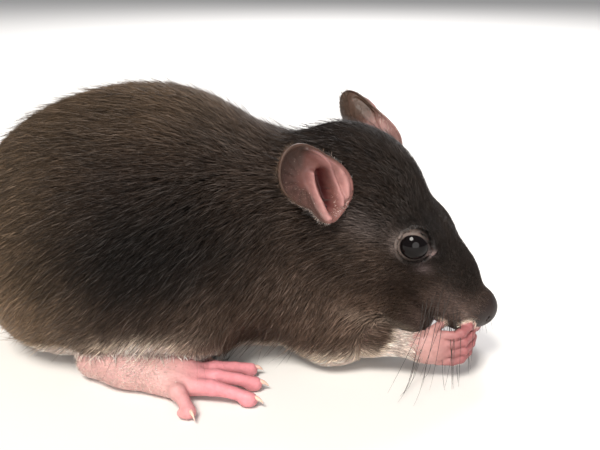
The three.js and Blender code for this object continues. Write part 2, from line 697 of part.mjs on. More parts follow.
const T = tailStations();
const tailWhole = tube(T, 8).subtract(FLOOR);
const coatTail = coatWide([-96, -16, -8], [-56, 16, 40], 400);
const cuts = [];
for (let i = 1; i < TAIL_PIECES; i++) {
  const at = Math.round((TAIL_STATIONS * i) / TAIL_PIECES),
    p = T[at].slice(0, 3),
    n = unit(sub(T[at + 1].slice(0, 3), T[at - 1].slice(0, 3)));
  cuts.push([n, dot(n, p)]);
}
for (let i = 0; i < TAIL_PIECES; i++) {
  let s = tailWhole;
  if (i === 0) s = s.subtract(coatTail);
  if (i > 0) s = s.intersect(halfSpace(cuts[i - 1][0], cuts[i - 1][1]));
  if (i < TAIL_PIECES - 1) s = s.subtract(halfSpace(cuts[i][0], cuts[i][1] - GAP));
  place("tail_" + (i + 1), main(s), "skin");
}

export default group;
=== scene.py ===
import math

import numpy as np

import bpy
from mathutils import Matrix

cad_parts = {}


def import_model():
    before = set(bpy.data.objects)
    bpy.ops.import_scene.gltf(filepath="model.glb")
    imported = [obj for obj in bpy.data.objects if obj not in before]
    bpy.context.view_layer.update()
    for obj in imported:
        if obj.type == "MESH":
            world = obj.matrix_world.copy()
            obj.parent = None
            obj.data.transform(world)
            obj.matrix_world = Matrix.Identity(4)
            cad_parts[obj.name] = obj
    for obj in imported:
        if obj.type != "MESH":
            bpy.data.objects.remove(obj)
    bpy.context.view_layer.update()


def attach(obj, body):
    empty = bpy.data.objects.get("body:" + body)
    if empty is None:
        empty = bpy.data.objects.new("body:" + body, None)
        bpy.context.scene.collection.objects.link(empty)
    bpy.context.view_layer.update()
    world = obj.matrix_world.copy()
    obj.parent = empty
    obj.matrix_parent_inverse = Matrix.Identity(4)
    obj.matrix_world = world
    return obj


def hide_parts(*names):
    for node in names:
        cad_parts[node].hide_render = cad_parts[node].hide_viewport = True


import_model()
rng = np.random.default_rng(11)
MM = 0.001
BELLY_X = 32.0  # the forms are written in mm round the spine; this carries them to the frame's origin

# ------------------------------------------------------------------ sizes
STEP = 0.97  # mesh step of the skin, mm
HEAD_AT = np.array([11.1, -5.7, 38.6])
YAW, PITCH = math.radians(-21), math.radians(-33)
EYE_R = 3.9
EYE_AT = np.array([19.2, 8.4, 3.3])
TAIL_LENGTH, TAIL_ROOT, TAIL_TIP, TAIL_START = 168.0, 4.7, 1.1, (-71.0, 0.0)
BODY_DEPTH = 2.1  # how far the skin lies under the coat's outside

F = np.array([math.cos(PITCH) * math.cos(YAW), math.cos(PITCH) * math.sin(YAW), math.sin(PITCH)])
L = np.array([-math.sin(YAW), math.cos(YAW), 0.0])
U = np.cross(F, L)
HA = np.stack([F, L, U])


def to_head(P):
    return (P - HEAD_AT) @ HA.T


def from_head(q):
    return HEAD_AT + np.asarray(q, float) @ HA


def across(P):
    """The point on the other side of the head's middle plane."""
    return P - 2 * ((P - HEAD_AT) @ L)[..., None] * L


def unit(a):
    a = np.asarray(a, float)
    return a / (np.linalg.norm(a, axis=-1, keepdims=True) + 1e-12)


def sstep(a, b, x):
    t = np.clip((x - a) / (b - a), 0, 1)
    return t * t * (3 - 2 * t)


def lerp(a, b, t):
    return a + (b - a) * t


# ------------------------------------------------------------------ forms
def egg(P, c, r):
    r = np.asarray(r, float)
    a = (P - np.asarray(c, float)) / r
    k0 = np.sqrt((a * a).sum(-1))
    b = a / r
    return k0 * (k0 - 1) / (np.sqrt((b * b).sum(-1)) + 1e-9)


def rod(P, a, b, ra, rb):
    a, b = np.asarray(a, float), np.asarray(b, float)
    ba = b - a
    l2 = ba @ ba
    rr = ra - rb
    a2, il2 = l2 - rr * rr, 1 / l2
    pa = P - a
    y = pa @ ba
    z = y - l2
    x = pa * l2 - ba * y[..., None]
    x2 = (x * x).sum(-1)
    y2, z2 = y * y * l2, z * z * l2
    k = np.sign(rr) * rr * rr * x2
    d = (np.sqrt(x2 * a2 * il2) + y * rr) * il2 - ra
    d = np.where(np.sign(y) * a2 * y2 < k, np.sqrt(x2 + y2) * il2 - ra, d)
    return np.where(np.sign(z) * a2 * z2 > k, np.sqrt(x2 + z2) * il2 - rb, d)


def soft(a, b, k):
    h = np.clip(0.5 + 0.5 * (b - a) / k, 0, 1)
    return b * (1 - h) + a * h - k * h * (1 - h)


def cut(a, b, k):
    """a with b taken away."""
    return -soft(-a, b, k)


def body_form(P):
    d = egg(P, (-49.5, 0, 29), (28.5, 26.5, 29.3))  # rump
    d = soft(d, egg(P, (-31, 0, 34.5), (27.5, 26, 27.5)), 14)  # back
    d = soft(d, egg(P, (-6, -1, 27.5), (23, 19.5, 22.5)), 12)  # shoulders
    d = soft(d, egg(P, (-34, 0, 20), (32, 25, 20.5)), 10)  # belly
    d = soft(d, egg(P, (-13, -0.5, 15.5), (25, 19.5, 15.2)), 9)
    d = soft(d, egg(P, (7, -4, 14.5), (13.5, 13.5, 13.5)), 8)  # breast
    d = soft(d, rod(P, (-60, 0, 22), (-76, 0, 11), 15, 5.5), 7)  # root of the tail
    d = soft(d, rod(P, (-4, -1, 33), (9, -4.8, 37), 16, 13), 8)  # nape
    d = soft(d, rod(P, (-4, -1, 22), (10, -5, 26), 17, 13), 8)  # throat
    for s in (-1, 1):
        d = soft(d, egg(P, (-45, s * 15, 23), (23, 14, 20)), 8)  # thigh
        d = soft(d, egg(P, (-57.5, s * 10.5, 18), (16, 13, 16)), 8)  # buttock
        d = soft(d, rod(P, (-42, s * 17, 19), (-25, s * 20.5, 13.5), 12, 8.5), 8)  # knee
        d = soft(d, rod(P, (-24, s * 21, 11.5), (-45, s * 23.5, 8.5), 8, 5), 5)  # shank
    d = soft(d, rod(P, (-10, -12.5, 22), (7, -17, 9.5), 11, 8.6), 7)  # right upper arm
    d = soft(d, rod(P, (8, -17.3, 8.6), (15, -19, 8.6), 8, 5.6), 4)
    d = soft(d, rod(P, (-10, 12, 22), (8, 9, 9.5), 11, 8.6), 7)  # left upper arm
    return soft(d, rod(P, (9, 9, 8.6), (17, 4, 8.4), 8, 5.6), 4)


def head_form(q):
    d = egg(q, (0, 0, 3.6), (15, 13, 13))  # skull
    d = soft(d, rod(q, (7, 0, 2), (29, 0, -1.5), 11.6, 7.6), 5)  # face
    d = soft(d, rod(q, (26, 0, -2.6), (38, 0, -3.6), 7.4, 5), 4)  # muzzle
    d = soft(d, egg(q, (41, 0, -2.8), (3, 3.2, 3.4)), 3.5)  # nose
    for s in (-1, 1):
        d = soft(d, egg(q, (34.5, s * 4, -4.9), (7.5, 4.5, 4.8)), 2.5)  # whisker pad
        d = soft(d, egg(q, (8, s * 6.5, -5), (12.5, 7.8, 10)), 6)  # cheek
        d = soft(d, egg(q, (18, s * 6.3, 4.6), (7, 3.8, 3.8)), 4)  # brow
    return soft(d, rod(q, (6, 0, -10.7), (30.2, 0, -14.6), 9.6, 4.7), 4.5)  # lower jaw


# ears, in the head's frame: base, direction to the tip, direction the bowl faces
EARS = {
    -1: dict(base=(3.6, -15.9, 1.6), tip=(-15, -7.8, 8.6), face=(0.50, -0.79, 0.64)),
    1: dict(base=(3.9, 13.4, 8.9), tip=(-17.4, 1.0, 4.5), face=(0.28, 0.86, 0.43)),
}
for _s, _e in EARS.items():
    _a = unit(_e["tip"])
    _n = np.array(_e["face"], float)
    _n = unit(_n - (_n @ _a) * _a)
    _f = np.cross(_n, _a) * _s  # towards the front edge
    _e.update(a=_a, n=_n, f=_f, mid=np.array(_e["base"]) + _a * 8.8 + _n * 0.6)


def ear_room(q):
    d = np.full(q.shape[:-1], 1e3)
    for e in EARS.values():
        c = e["mid"] - e["a"] * 1.2 + e["n"] * 1.5
        r = q - c
        r = np.stack([r @ e["a"], r @ e["f"], r @ e["n"]], -1)
        d = np.minimum(d, egg(r, (0, 0, 0), (8.6, 6.9, 4.9)))
    return d


WRIST = np.array([25, -23.6, 7.8])
ELBOW = {-1: np.array([10, -18.5, 8.0]), 1: np.array([13, -23.0, 9.0])}


def finger(k):
    z, bend = 4.3 + 2.15 * k, 0.55 * abs(k - 1.3)
    return [
        ((31.0, -24.4, z + 0.1), 1.1),
        ((34.2, -25.1, z + 0.3), 0.98),
        ((36.8 - bend, -24.8, z + 0.8), 1.1),
        ((38.7 - bend, -23.2, z + 1.6), 0.93),
        ((39.4 - bend, -21.2, z + 2.3), 1.05),
    ]


def box_dist(P, lo, hi):
    lo, hi = np.array(lo, float), np.array(hi, float)
    return np.linalg.norm(np.maximum(np.maximum(lo - P, P - hi), 0), axis=-1)


def nearby(form, P, lo, hi, reach=4.0):
    """The form near its box, and the distance to the box beyond reach."""
    d = box_dist(P, lo, hi)
    near = d < reach
    if near.any():
        d[near] = form(P[near])
    return d


def arm_form(P):
    """Forearms and hands. The left one mirrors the right one across the head's middle."""
    box = (3, -29, 1.5), (42, -14, 16)
    right = nearby(lambda Q: one_arm(Q, -1), P, *box)
    return np.minimum(right, nearby(lambda Q: one_arm(Q, 1), across(P), *box))


def one_arm(P, s):
    Q = P
    e = ELBOW[s]
    m = e + (WRIST - e) * 0.5
    d = soft(rod(Q, e, m, 4.0, 3.3), rod(Q, m, WRIST, 3.3, 2.45), 1.0)
    d = soft(d, egg(Q, (29.2, -24.2, 7.4), (5.0, 2.4, 3.9)), 1.6)  # palm and back of the hand
    d = soft(d, egg(Q, (28.2, -22.4, 5.6), (2.6, 1.6, 1.5)), 1.0)  # heel pads
    d = soft(d, egg(Q, (28.4, -22.4, 9.3), (2.6, 1.6, 1.5)), 1.0)
    d = soft(d, rod(Q, (29.5, -23, 11), (32, -21.6, 12.2), 1.2, 0.9), 0.8)  # small thumb
    for k in range(4):
        J = finger(k)
        for (a, ra), (b, rb) in zip(J, J[1:]):
            d = soft(d, rod(Q, a, b, ra, rb), 0.35)
    return d


TOES = (
    ((-28, 32.3, 2.6), (-23, 40.4, 1.8), 2.2, 1.5),
    ((-25, 32.5, 2.7), (-10.5, 36, 1.8), 2.1, 1.45),
    ((-24.5, 30, 3.0), (-9.8, 29.8, 1.8), 2.1, 1.45),
    ((-25, 27.5, 2.8), (-11.2, 23.9, 1.8), 2.0, 1.45),
    ((-30, 24.6, 2.8), (-22.6, 20.2, 1.8), 1.9, 1.45),
)


def foot_form(P):
    Q = P.copy()
    Q[..., 1] = np.abs(Q[..., 1])
    return nearby(one_foot, Q, (-51, 18, 0), (-7.5, 42.5, 7.5))


def one_foot(Q):
    d = rod(Q, (-46.5, 24, 4.1), (-38, 26, 3.9), 3.9, 4.0)  # heel
    d = soft(d, egg(Q, (-33, 28, 3.3), (11, 4.7, 3.5)), 3)  # metatarsus
    d = soft(d, egg(Q, (-27.5, 29.4, 3.0), (6.2, 5.5, 3.1)), 3)
    for k in range(3):  # cords of the toes under the skin
        d = soft(d, rod(Q, (-38, 26.6 + 1.1 * k, 5.8), (-25, 27.6 + 2.4 * k, 4.4), 0.9, 0.8), 1.3)
    for a, b, r0, r1 in TOES:
        a, b = np.array(a), np.array(b)
        m1, m2 = a + (b - a) * 0.42 + (0, 0, 1.0), a + (b - a) * 0.74 + (0, 0, 0.75)
        d = soft(d, rod(Q, a, m1, r0, (r0 + r1) / 2 - 0.05), 1.1)
        d = soft(d, rod(Q, m1, m2, (r0 + r1) / 2 - 0.05, r1 * 0.88), 0.5)
        d = soft(d, rod(Q, m2, b, r1 * 0.88, r1), 0.5)
        d = soft(d, egg(Q, b + (-0.6, 0, -0.5), (1.9, 1.35, 1.2)), 0.6)  # pad
    return d


def eye_frames():
    for s in (-1, 1):
        c = EYE_AT * (1, s, 1)
        n = unit((0.16, 0.95 * s, 0.22))  # the eye looks this way
        t = np.array([math.cos(0.32), 0, math.sin(0.32)])  # corner to corner
        t = unit(t - (t @ n) * n)
        yield s, c, n, t, np.cross(n, t) * (-s)


def lids(q):
    """1 at the edge of the eye's opening, growing outwards; and how near the front corner the point is."""
    g = np.full(q.shape[:-1], 9.0)
    f = np.zeros(q.shape[:-1])
    for s, c, n, t, b in eye_frames():
        r = q - c
        rt, rb = r @ t, r @ b
        near = ((r @ n) > 0.5) & (np.linalg.norm(r, axis=-1) < 8.5)
        front = np.clip(rt / 4, 0, 1)
        k = np.sqrt(np.abs(rt / (3.05 + 1.0 * front)) ** (2 - 0.65 * front) + (rb / 2.65) ** 2)
        g = np.where(near, np.minimum(g, k), g)
        f = np.where(near, np.exp(-(((rt - 5.2) / 1.3) ** 2 + ((rb + 0.5) / 0.8) ** 2)), f)
    return g, f


def fields(P, q=None):
    """Outside of the coat, share of head, and depth of the skin under it."""
    q = to_head(P) if q is None else q
    b, h = body_form(P), head_form(q)
    m = np.clip(0.5 + 0.5 * (b - h) / 8, 0, 1)
    fur = b * (1 - m) + h * m - 8 * m * (1 - m)
    depth = BODY_DEPTH * (1 - m) + m * lerp(1.35, 0.45, sstep(8, 34, q[..., 0]))
    depth = depth * (1 - 0.9 * m * sstep(35.5, 40, q[..., 0]))
    depth = depth * lerp(0.45, 1, sstep(0.5, 9, P[..., 2]))  # thinner where it rests
    for s in (-1, 1):
        e = np.linalg.norm(q - EYE_AT * (1, s, 1), axis=-1)
        depth = depth * (1 - 0.8 * np.exp(-((e / 5.6) ** 4)))
        d = np.linalg.norm(P - (np.array([15, -19, 8.6]) if s < 0 else np.array([17, 4, 8.4])), axis=-1)
        depth = depth * lerp(0.45, 1, sstep(5, 12, d))
    return fur, m, depth


def bare_form(P):
    return np.minimum(arm_form(P), foot_form(P))


def skin_form(P, detail=True):
    q = to_head(P)
    fur, m, depth = fields(P, q)
    d = cut(fur + depth, ear_room(q), 1.5)
    d = soft(d, bare_form(P), 1.0)
    if detail:
        near = q[..., 0] > 10
        if near.any():
            qn, dn = q[near], d[near]
            for s, c, n, t, b in eye_frames():
                r = qn - c
                e = np.linalg.norm(r, axis=-1)
                rt, rb, rn = r @ t, r @ b, r @ n
                dn = soft(dn, e - 4.62, 1.3)  # lids round the ball
                dn = cut(dn, e - (EYE_R + 0.06), 0.12)  # room for the eye
                front = np.clip(rt / 4, 0, 1)
                slit = np.abs(rt / (3.05 + 1.0 * front)) ** (2 - 0.65 * front) + (rb / 2.65) ** 2
                opening = np.maximum((np.sqrt(slit) - 1) * 3.0, 1.0 - rn)
                dn = cut(dn, opening, 0.3)
                dn = dn + 0.3 * np.exp(-(((rt - 5.4) ** 2 + (rb + 0.55) ** 2) / 0.9)) * (rn > 0)  # tear corner
                # crease round the lids
                ring = np.abs(np.sqrt((rt / 5.9) ** 2 + (rb / 5.3) ** 2) - 1) * 5.5
                dn = dn + 0.16 * np.exp(-((ring / 0.55) ** 2)) * (rn > 0)
            for s in (-1, 1):
                o = qn - (42.3, s * 2.35, -2.8)
                o = np.stack([o[:, 0] * 0.8 + o[:, 1] * 0.6 * s, -o[:, 0] * 0.6 * s + o[:, 1] * 0.8, o[:, 2] - 0.35 * (o[:, 1] * s)], -1)
                dn = cut(dn, egg(o, (0, 0, 0), (1.9, 0.75, 0.9)), 0.3)  # nostrils
                dn = cut(dn, rod(qn, (42.6, s * 2.3, -3.6), (40.6, s * 3.1, -4.6), 0.28, 0.2), 0.4)
                dn = cut(dn, rod(qn, (36.5, s * 1.2, -9.3), (27.5, s * 6.4, -9.2), 0.5, 0.25), 0.7)  # mouth
                dn = cut(dn, rod(qn, (43.4, 0, -4.6), (39.2, 0, -8.6), 0.32, 0.4), 0.5)  # cleft of the lip
            # rows of small swellings that carry the whiskers
            for s in (-1, 1):
                for p, _ in pad_points():
                    dn = dn - 0.14 * np.exp(-(((qn - p * (1, s, 1)) ** 2).sum(-1) / 0.5))
            d = d.copy()
            d[near] = dn
    return d


def pad_points():
    """Where the whiskers grow, on the right pad's outside (head frame, y positive), with each one's size 0-1."""
    out = []
    for row in range(5):
        for k in range(5):
            f = 38.4 - 2.05 * k - 0.35 * row
            u = -1.3 - 1.55 * row + 0.22 * k
            y = 0.0
            out.append((f, u, row, k))
    pts = []
    for f, u, row, k in out:
        ys = PAD_Y(f, u)
        pts.append((np.array([f, ys, u]), k / 4))
    return pts


def PAD_Y(f, u):
    """How far out the muzzle's surface lies at forward f and up u, by a simple search, kept once."""
    key = (round(f, 3), round(u, 3))
    if key not in _pad:
        ys = np.linspace(0.5, 12, 116)
        q = np.stack([np.full(116, f), ys, np.full(116, u)], -1)
        d = head_form(q) + 0.45
        inside = np.nonzero(d < 0)[0]
        _pad[key] = float(ys[inside[-1]]) if len(inside) else 3.0
    return _pad[key]


_pad = {}


def chunked(fn, P, size=60000):
    return np.concatenate([fn(P[i : i + size]) for i in range(0, len(P), size)]) if len(P) > size else fn(P)


def slope(fn, P, e=0.04):
    """Gradient by four samples at a tetrahedron's corners."""
    k = np.array([[1, -1, -1], [-1, -1, 1], [-1, 1, -1], [1, 1, 1]], float)
    g = np.zeros_like(P)
    for v in k:
        g += chunked(fn, P + v * e)[:, None] * v
    return g / (4 * e)


def pull(fn, P, rounds=3, most=0.3):
    P = P.copy()
    for _ in range(rounds):
        f = chunked(fn, P)
        g = slope(fn, P)
        gg = (g * g).sum(-1)
        step = -f[:, None] * g / np.maximum(gg, 0.05)[:, None]
        n = np.linalg.norm(step, axis=1, keepdims=True)
        P += step * np.minimum(1, most / np.maximum(n, 1e-9))
    return P


def net(fn, lo, hi, h):
    """Closed quad mesh over fn = 0 on a grid of step h."""
    lo, hi = np.asarray(lo, float), np.asarray(hi, float)
    n = np.ceil((hi - lo) / h).astype(int) + 1
    n = (n + 3) // 4 * 4 + 1
    ax = [lo[i] + h * np.arange(n[i]) for i in range(3)]
    C = np.stack(np.meshgrid(*[a[::4] for a in ax], indexing="ij"), -1)
    cv = chunked(fn, C.reshape(-1, 3)).reshape(C.shape[:3])
    val = np.kron(cv, np.ones((4, 4, 4)))[: n[0], : n[1], : n[2]]
    pad = np.abs(cv) < 4 * h * 1.9
    grow = pad.copy()
    for a in range(3):
        g = grow.copy()
        sl = [slice(None)] * 3
        sr = [slice(None)] * 3
        sl[a], sr[a] = slice(1, None), slice(None, -1)
        g[tuple(sl)] |= grow[tuple(sr)]
        g[tuple(sr)] |= grow[tuple(sl)]
        grow = g
    near = np.kron(grow, np.ones((4, 4, 4), bool))[: n[0], : n[1], : n[2]]
    idx = np.argwhere(near)
    val[near] = chunked(fn, lo + idx * h)
    inside = val < 0
    c = np.zeros(tuple(n - 1), int)
    corners = []
    for o in range(8):
        sl = tuple(slice(b, n[i] - 1 + b) for i, b in enumerate((o & 1, (o >> 1) & 1, o >> 2)))
        corners.append(sl)
        c += inside[sl]
    cells = np.argwhere((c > 0) & (c < 8))
    cid = np.full(tuple(n - 1), -1)
    cid[tuple(cells.T)] = np.arange(len(cells))
    v = np.stack([val[corners[o]][tuple(cells.T)] for o in range(8)], -1)
    acc, cnt = np.zeros((len(cells), 3)), np.zeros(len(cells))
    for o in range(8):
        for bit in (1, 2, 4):
            p = o | bit
            if p == o:
                continue
            hit = (v[:, o] < 0) != (v[:, p] < 0)
            t = np.where(hit, v[:, o] / np.where(hit, v[:, o] - v[:, p], 1), 0)
            a = np.array([o & 1, (o >> 1) & 1, o >> 2], float)
            b = np.array([p & 1, (p >> 1) & 1, p >> 2], float)
            acc += np.where(hit[:, None], a + (b - a) * t[:, None], 0)
            cnt += hit
    V = lo + (cells + acc / cnt[:, None]) * h
    quads = []
    for a in range(3):
        b, d = (a + 1) % 3, (a + 2) % 3
        sl = [slice(1, n[i] - 1) for i in range(3)]
        s2 = list(sl)
        s2[a] = slice(2, n[a])
        p, q = inside[tuple(sl)], inside[tuple(s2)]
        for flip in (False, True):
            e = np.argwhere((p & ~q) if not flip else (~p & q)) + 1
            if not len(e):
                continue
            ob, od = np.eye(3, dtype=int)[b], np.eye(3, dtype=int)[d]
            k = [cid[tuple((e - o).T)] for o in (0 * ob, ob, ob + od, od)]
            k = k[::-1] if flip else k
            quads.append(np.stack([k[2], k[3], k[0], k[1]], -1))
    return V, np.concatenate(quads)


def split_long(V, T, length, fn, rounds=3):
    """Splits edges longer than length(P) and pulls the new points onto the form."""
    for _ in range(rounds):
        E = np.sort(np.concatenate([T[:, [0, 1]], T[:, [1, 2]], T[:, [2, 0]]]), axis=1)
        uniq, inv = np.unique(E, axis=0, return_inverse=True)
        inv = inv.ravel()
        a, b = V[uniq[:, 0]], V[uniq[:, 1]]
        mid = (a + b) / 2
        mark = np.linalg.norm(a - b, axis=1) > length(mid) * 1.35
        if not mark.any():
            break
        new = pull(fn, mid[mark], 2, 0.15)
        at = np.full(len(uniq), -1)
        at[mark] = len(V) + np.arange(mark.sum())
        V = np.concatenate([V, new])
        m = at[inv].reshape(3, -1).T
        k = (m >= 0).sum(1)
        out = [T[k == 0]]
        for r in range(3):  # one marked edge
            s = (k == 1) & (m[:, r] >= 0)
            t, x = T[s], m[s, r]
            A, B, C = t[:, r], t[:, (r + 1) % 3], t[:, (r + 2) % 3]
            out += [np.stack([A, x, C], 1), np.stack([x, B, C], 1)]
        for r in range(3):  # two, edges r and r+1
            s = (k == 2) & (m[:, r] >= 0) & (m[:, (r + 1) % 3] >= 0)
            t, x, y = T[s], m[s, r], m[s, (r + 1) % 3]
            A, B, C = t[:, r], t[:, (r + 1) % 3], t[:, (r + 2) % 3]
            out += [np.stack([x, B, y], 1), np.stack([A, x, y], 1), np.stack([A, y, C], 1)]
        s = k == 3
        t, x = T[s], m[s]
        out += [np.stack([t[:, 0], x[:, 0], x[:, 2]], 1), np.stack([x[:, 0], t[:, 1], x[:, 1]], 1), np.stack([x[:, 2], x[:, 1], t[:, 2]], 1), x]
        T = np.concatenate(out)
    return V, T


# ------------------------------------------------------------------ markings, with painted shade and sheen, shared by skin and coat
def noise(P, size, seed=0):
    """Smooth value noise in -1..1."""
    r = np.random.default_rng(seed)
    tab = r.uniform(-1, 1, (32, 32, 32))
    x = P / size + 100.0
    i = np.floor(x).astype(int)
    f = x - i
    f = f * f * (3 - 2 * f)
    out = 0
    for o in range(8):
        b = np.array([o & 1, (o >> 1) & 1, o >> 2])
        w = np.prod(np.where(b, f, 1 - f), axis=-1)
        j = (i + b) % 32
        out = out + w * tab[j[..., 0], j[..., 1], j[..., 2]]
    return out


def srgb(*c):
    c = np.array(c, float) / 255
    return np.where(c < 0.04045, c / 12.92, ((c + 0.055) / 1.055) ** 2.4)


DARK = srgb(50, 39, 32)
BROWN = srgb(84, 68, 51)
# colour of the painted shade in the dark band over the flanks and back
FLANK_SHADE = srgb(17, 12, 9)
FACE = srgb(41, 30, 23)
MUZZLE = srgb(94, 77, 70)
CREAM = srgb(205, 188, 170)
PINK = srgb(200, 144, 138)
PALE = srgb(192, 149, 144)


def mixc(a, b, t):
    return a + (b - a) * np.asarray(t)[..., None]


def bump3(P, c, r):
    return np.exp(-(((P - np.array(c)) / np.array(r)) ** 2).sum(-1))


def coat_tint(P):
    q = to_head(P)
    _, m, _ = fields(P, q)
    x, y, z = P.T
    c = np.broadcast_to(DARK, P.shape).copy()
    c = mixc(c, BROWN, 0.75 * sstep(-34, -66, x) * (1 - m))
    # painted light: the top of the back lighter where the light from above falls on it
    c = mixc(c, BROWN, 0.55 * sstep(46, 62, z) * (1 - m))
    # painted shade: a dark band across the middle of the flanks and back
    c = mixc(c, FLANK_SHADE * 0.55, 0.97 * bump3(P, (-30, 0, 32), (21, 70, 15)) * (1 - m))
    c = mixc(c, FACE, m)
    c = mixc(c, srgb(72, 60, 52), 0.7 * m * bump3(q * (1, 0, 1), (7, 0, -2), (8, 1, 5)))  # paler cheek: painted sheen
    c = mixc(c, MUZZLE, 0.85 * m * sstep(26, 34, q[:, 0]) * sstep(1.5, -3, q[:, 2]))
    c = mixc(c, srgb(62, 49, 42), 0.6 * m * sstep(34, 41, q[:, 0]))
    g, f = lids(q)
    c = mixc(c, srgb(118, 104, 98), 0.75 * m * sstep(1.75, 1.2, g) * sstep(1.5, -2.5, (q - EYE_AT)[:, 0]))
    c = mixc(c, srgb(112, 98, 98), 0.6 * f)
    # pale underside
    low = sstep(9.5 + 1.5 * noise(P, 9, 3), 4.0, z) * (1 - m)
    c = mixc(c, CREAM, 0.95 * low * sstep(-66, -54, x) * lerp(1, 0.4, sstep(-12, 0, x)))
    c = mixc(c, CREAM, 0.5 * m * sstep(-14.5, -17, q[:, 2]) * sstep(12, 20, q[:, 0]))
    c = mixc(c, srgb(222, 196, 188), 0.95 * sstep(1.4, 0.4, foot_form(P)))
    # pale edge over the hind foot and pale forearm
    for s in (-1, 1):
        c = mixc(c, CREAM, 0.9 * bump3(P, (-33, s * 26, 10.5), (8, 9, 3.2)))
    arm = arm_form(P)
    c = mixc(c, CREAM, 0.95 * sstep(1.4, 0.2, arm) * sstep(17, 22, x + 0.5 * (9 - z)))
    # lifts the body's tint, most at the bottom and over the rump, and darkens the mid-flank band again with painted
    # shade
    c = c * (lerp(1, lerp(2.9, 1.12, sstep(10, 36, z)) * (1 + 0.35 * sstep(-50, -70, x)) * (1 - 0.5 * bump3(P, (-30, 0, 32), (24, 70, 17))), 1 - m))[:, None]
    c = np.minimum(c, np.array([0.66, 0.53, 0.46]))  # the brightest hair
    c = c * (1 - 0.6 * m * sstep(-3, 6, q[:, 2]))[:, None]
    c = mixc(c, srgb(92, 84, 82), 0.5 * m * bump3(q * (1, 0, 1), (8.5, 0, 2.0), (5.5, 1, 2.6)))  # pale sheen between ear and eye
    c = mixc(c, srgb(128, 112, 110), 0.5 * m * bump3(q * (1, 0, 1), EYE_AT * (1, 0, 1) + (5.2, 0, -2.6), (1.9, 1, 1.3)))
    c = c * (1 + 0.22 * noise(P, 9, 1) + 0.20 * noise(P, 2.6, 2) + 0.16 * noise(P, 1.2, 4))[:, None]
    return np.clip(c, 0.002, 1)


def skin_tint(P, fur_share):
    q = to_head(P)
    under = coat_tint(P) * 0.62
    pink = np.broadcast_to(PINK, P.shape).copy()
    x, y, z = P.T
    foot = foot_form(P) < 0.3
    pink = np.where(foot[:, None], mixc(PALE, srgb(202, 130, 135), sstep(-30, -18, x)), pink)
    hand = arm_form(P) < 0.3
    pink = np.where(hand[:, None], mixc(srgb(176, 134, 128), srgb(144, 88, 88), sstep(27, 37, x)), pink)
    pink = pink * (1 + 0.08 * noise(P, 1.6, 5) + 0.05 * noise(P, 0.5, 6))[:, None]
    c = pink * (1 - fur_share[:, None]) + under * fur_share[:, None]
    # nose, lips and lids
    c = mixc(c, srgb(36, 26, 23), sstep(37.5, 40.5, q[:, 0] + 0.25 * q[:, 2]) * (q[:, 2] > -9) * (arm_form(P) > 0.5))
    c = mixc(c, srgb(176, 112, 108), 0.85 * bump3(q, (40.8, 0, -7.2), (2.2, 3, 1.5)))
    g, f = lids(q)
    c = mixc(c, srgb(104, 92, 86), 0.9 * sstep(1.45, 1.25, g) * sstep(3, -2, (q - EYE_AT)[:, 0]))
    c = mixc(c, srgb(34, 25, 23), sstep(1.06, 1.0, g))
    c = mixc(c, srgb(150, 128, 124), 0.9 * f)
    return np.clip(c, 0.002, 1)


# ------------------------------------------------------------------ building blocks
def obj(name, V, faces, smooth=True):
    me = bpy.data.meshes.new(name)
    V = np.asarray(V, np.float32)
    faces = np.asarray(faces)
    k = faces.shape[1]
    me.vertices.add(len(V))
    me.vertices.foreach_set("co", ((V + np.array([BELLY_X, 0, 0], np.float32)) * MM).astype(np.float32).ravel())
    me.loops.add(faces.size)
    me.loops.foreach_set("vertex_index", faces.astype(np.int32).ravel())
    me.polygons.add(len(faces))
    me.polygons.foreach_set("loop_start", (np.arange(len(faces)) * k).astype(np.int32))
    me.polygons.foreach_set("loop_total", np.full(len(faces), k, np.int32))
    me.update(calc_edges=True)
    me.polygons.foreach_set("use_smooth", np.full(len(faces), smooth))
    o = bpy.data.objects.new(name, me)
    bpy.context.scene.collection.objects.link(o)
    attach(o, "root")
    return o


def paint(o, name, C):
    a = o.data.color_attributes.new(name, "FLOAT_COLOR", "POINT")
    C = np.asarray(C, np.float32)
    a.data.foreach_set("color", np.concatenate([C, np.ones((len(C), 1), np.float32)], 1).ravel())


def value(o, name, v):
    a = o.data.attributes.new(name, "FLOAT", "POINT")
    a.data.foreach_set("value", np.asarray(v, np.float32))


def uvs(o, faces, UV, name="OFBake"):
    l = o.data.uv_layers.new(name=name)
    l.data.foreach_set("uv", np.asarray(UV, np.float32)[faces.ravel()].ravel())


def tube_mesh(C, R, seg, up=(0, 0, 1), squash=1.0):
    """Closed tapering tube along points C with radii R: vertices and triangles."""
    C, R = np.asarray(C, float), np.asarray(R, float)
    n = len(C)
    D = np.gradient(C, axis=0)
    D = unit(D)
    up = np.broadcast_to(np.asarray(up, float), D.shape)
    S = unit(np.cross(up, D))
    W = np.cross(D, S)
    a = 2 * np.pi * np.arange(seg) / seg
    V = C[:, None] + R[:, None, None] * (np.cos(a)[None, :, None] * S[:, None] + squash * np.sin(a)[None, :, None] * W[:, None])
    V = np.concatenate([V.reshape(-1, 3), C[:1], C[-1:]])
    i, k = np.meshgrid(np.arange(n - 1), np.arange(seg), indexing="ij")
    p, q = (i * seg + k).ravel(), (i * seg + (k + 1) % seg).ravel()
    T = np.concatenate([np.stack([p, q, q + seg], 1), np.stack([p, q + seg, p + seg], 1)])
    k = np.arange(seg)
    o = (n - 1) * seg
    T = np.concatenate([T, np.stack([np.full(seg, n * seg), (k + 1) % seg, k], 1), np.stack([np.full(seg, n * seg + 1), o + k, o + (k + 1) % seg], 1)])
    return V, T


# ------------------------------------------------------------------ the skin
def form_rough(P):
    return skin_form(P, False)


def clipped(fn):
    return lambda P: np.maximum(fn(P), 0.12 - P[..., 2])


V, Qd = net(clipped(form_rough), (-84, -45, -2.2), (50, 45, 69), STEP)
T = np.concatenate([Qd[:, [0, 1, 2]], Qd[:, [0, 2, 3]]])
fine = clipped(skin_form)
V = pull(fine, V, 4, 0.25)


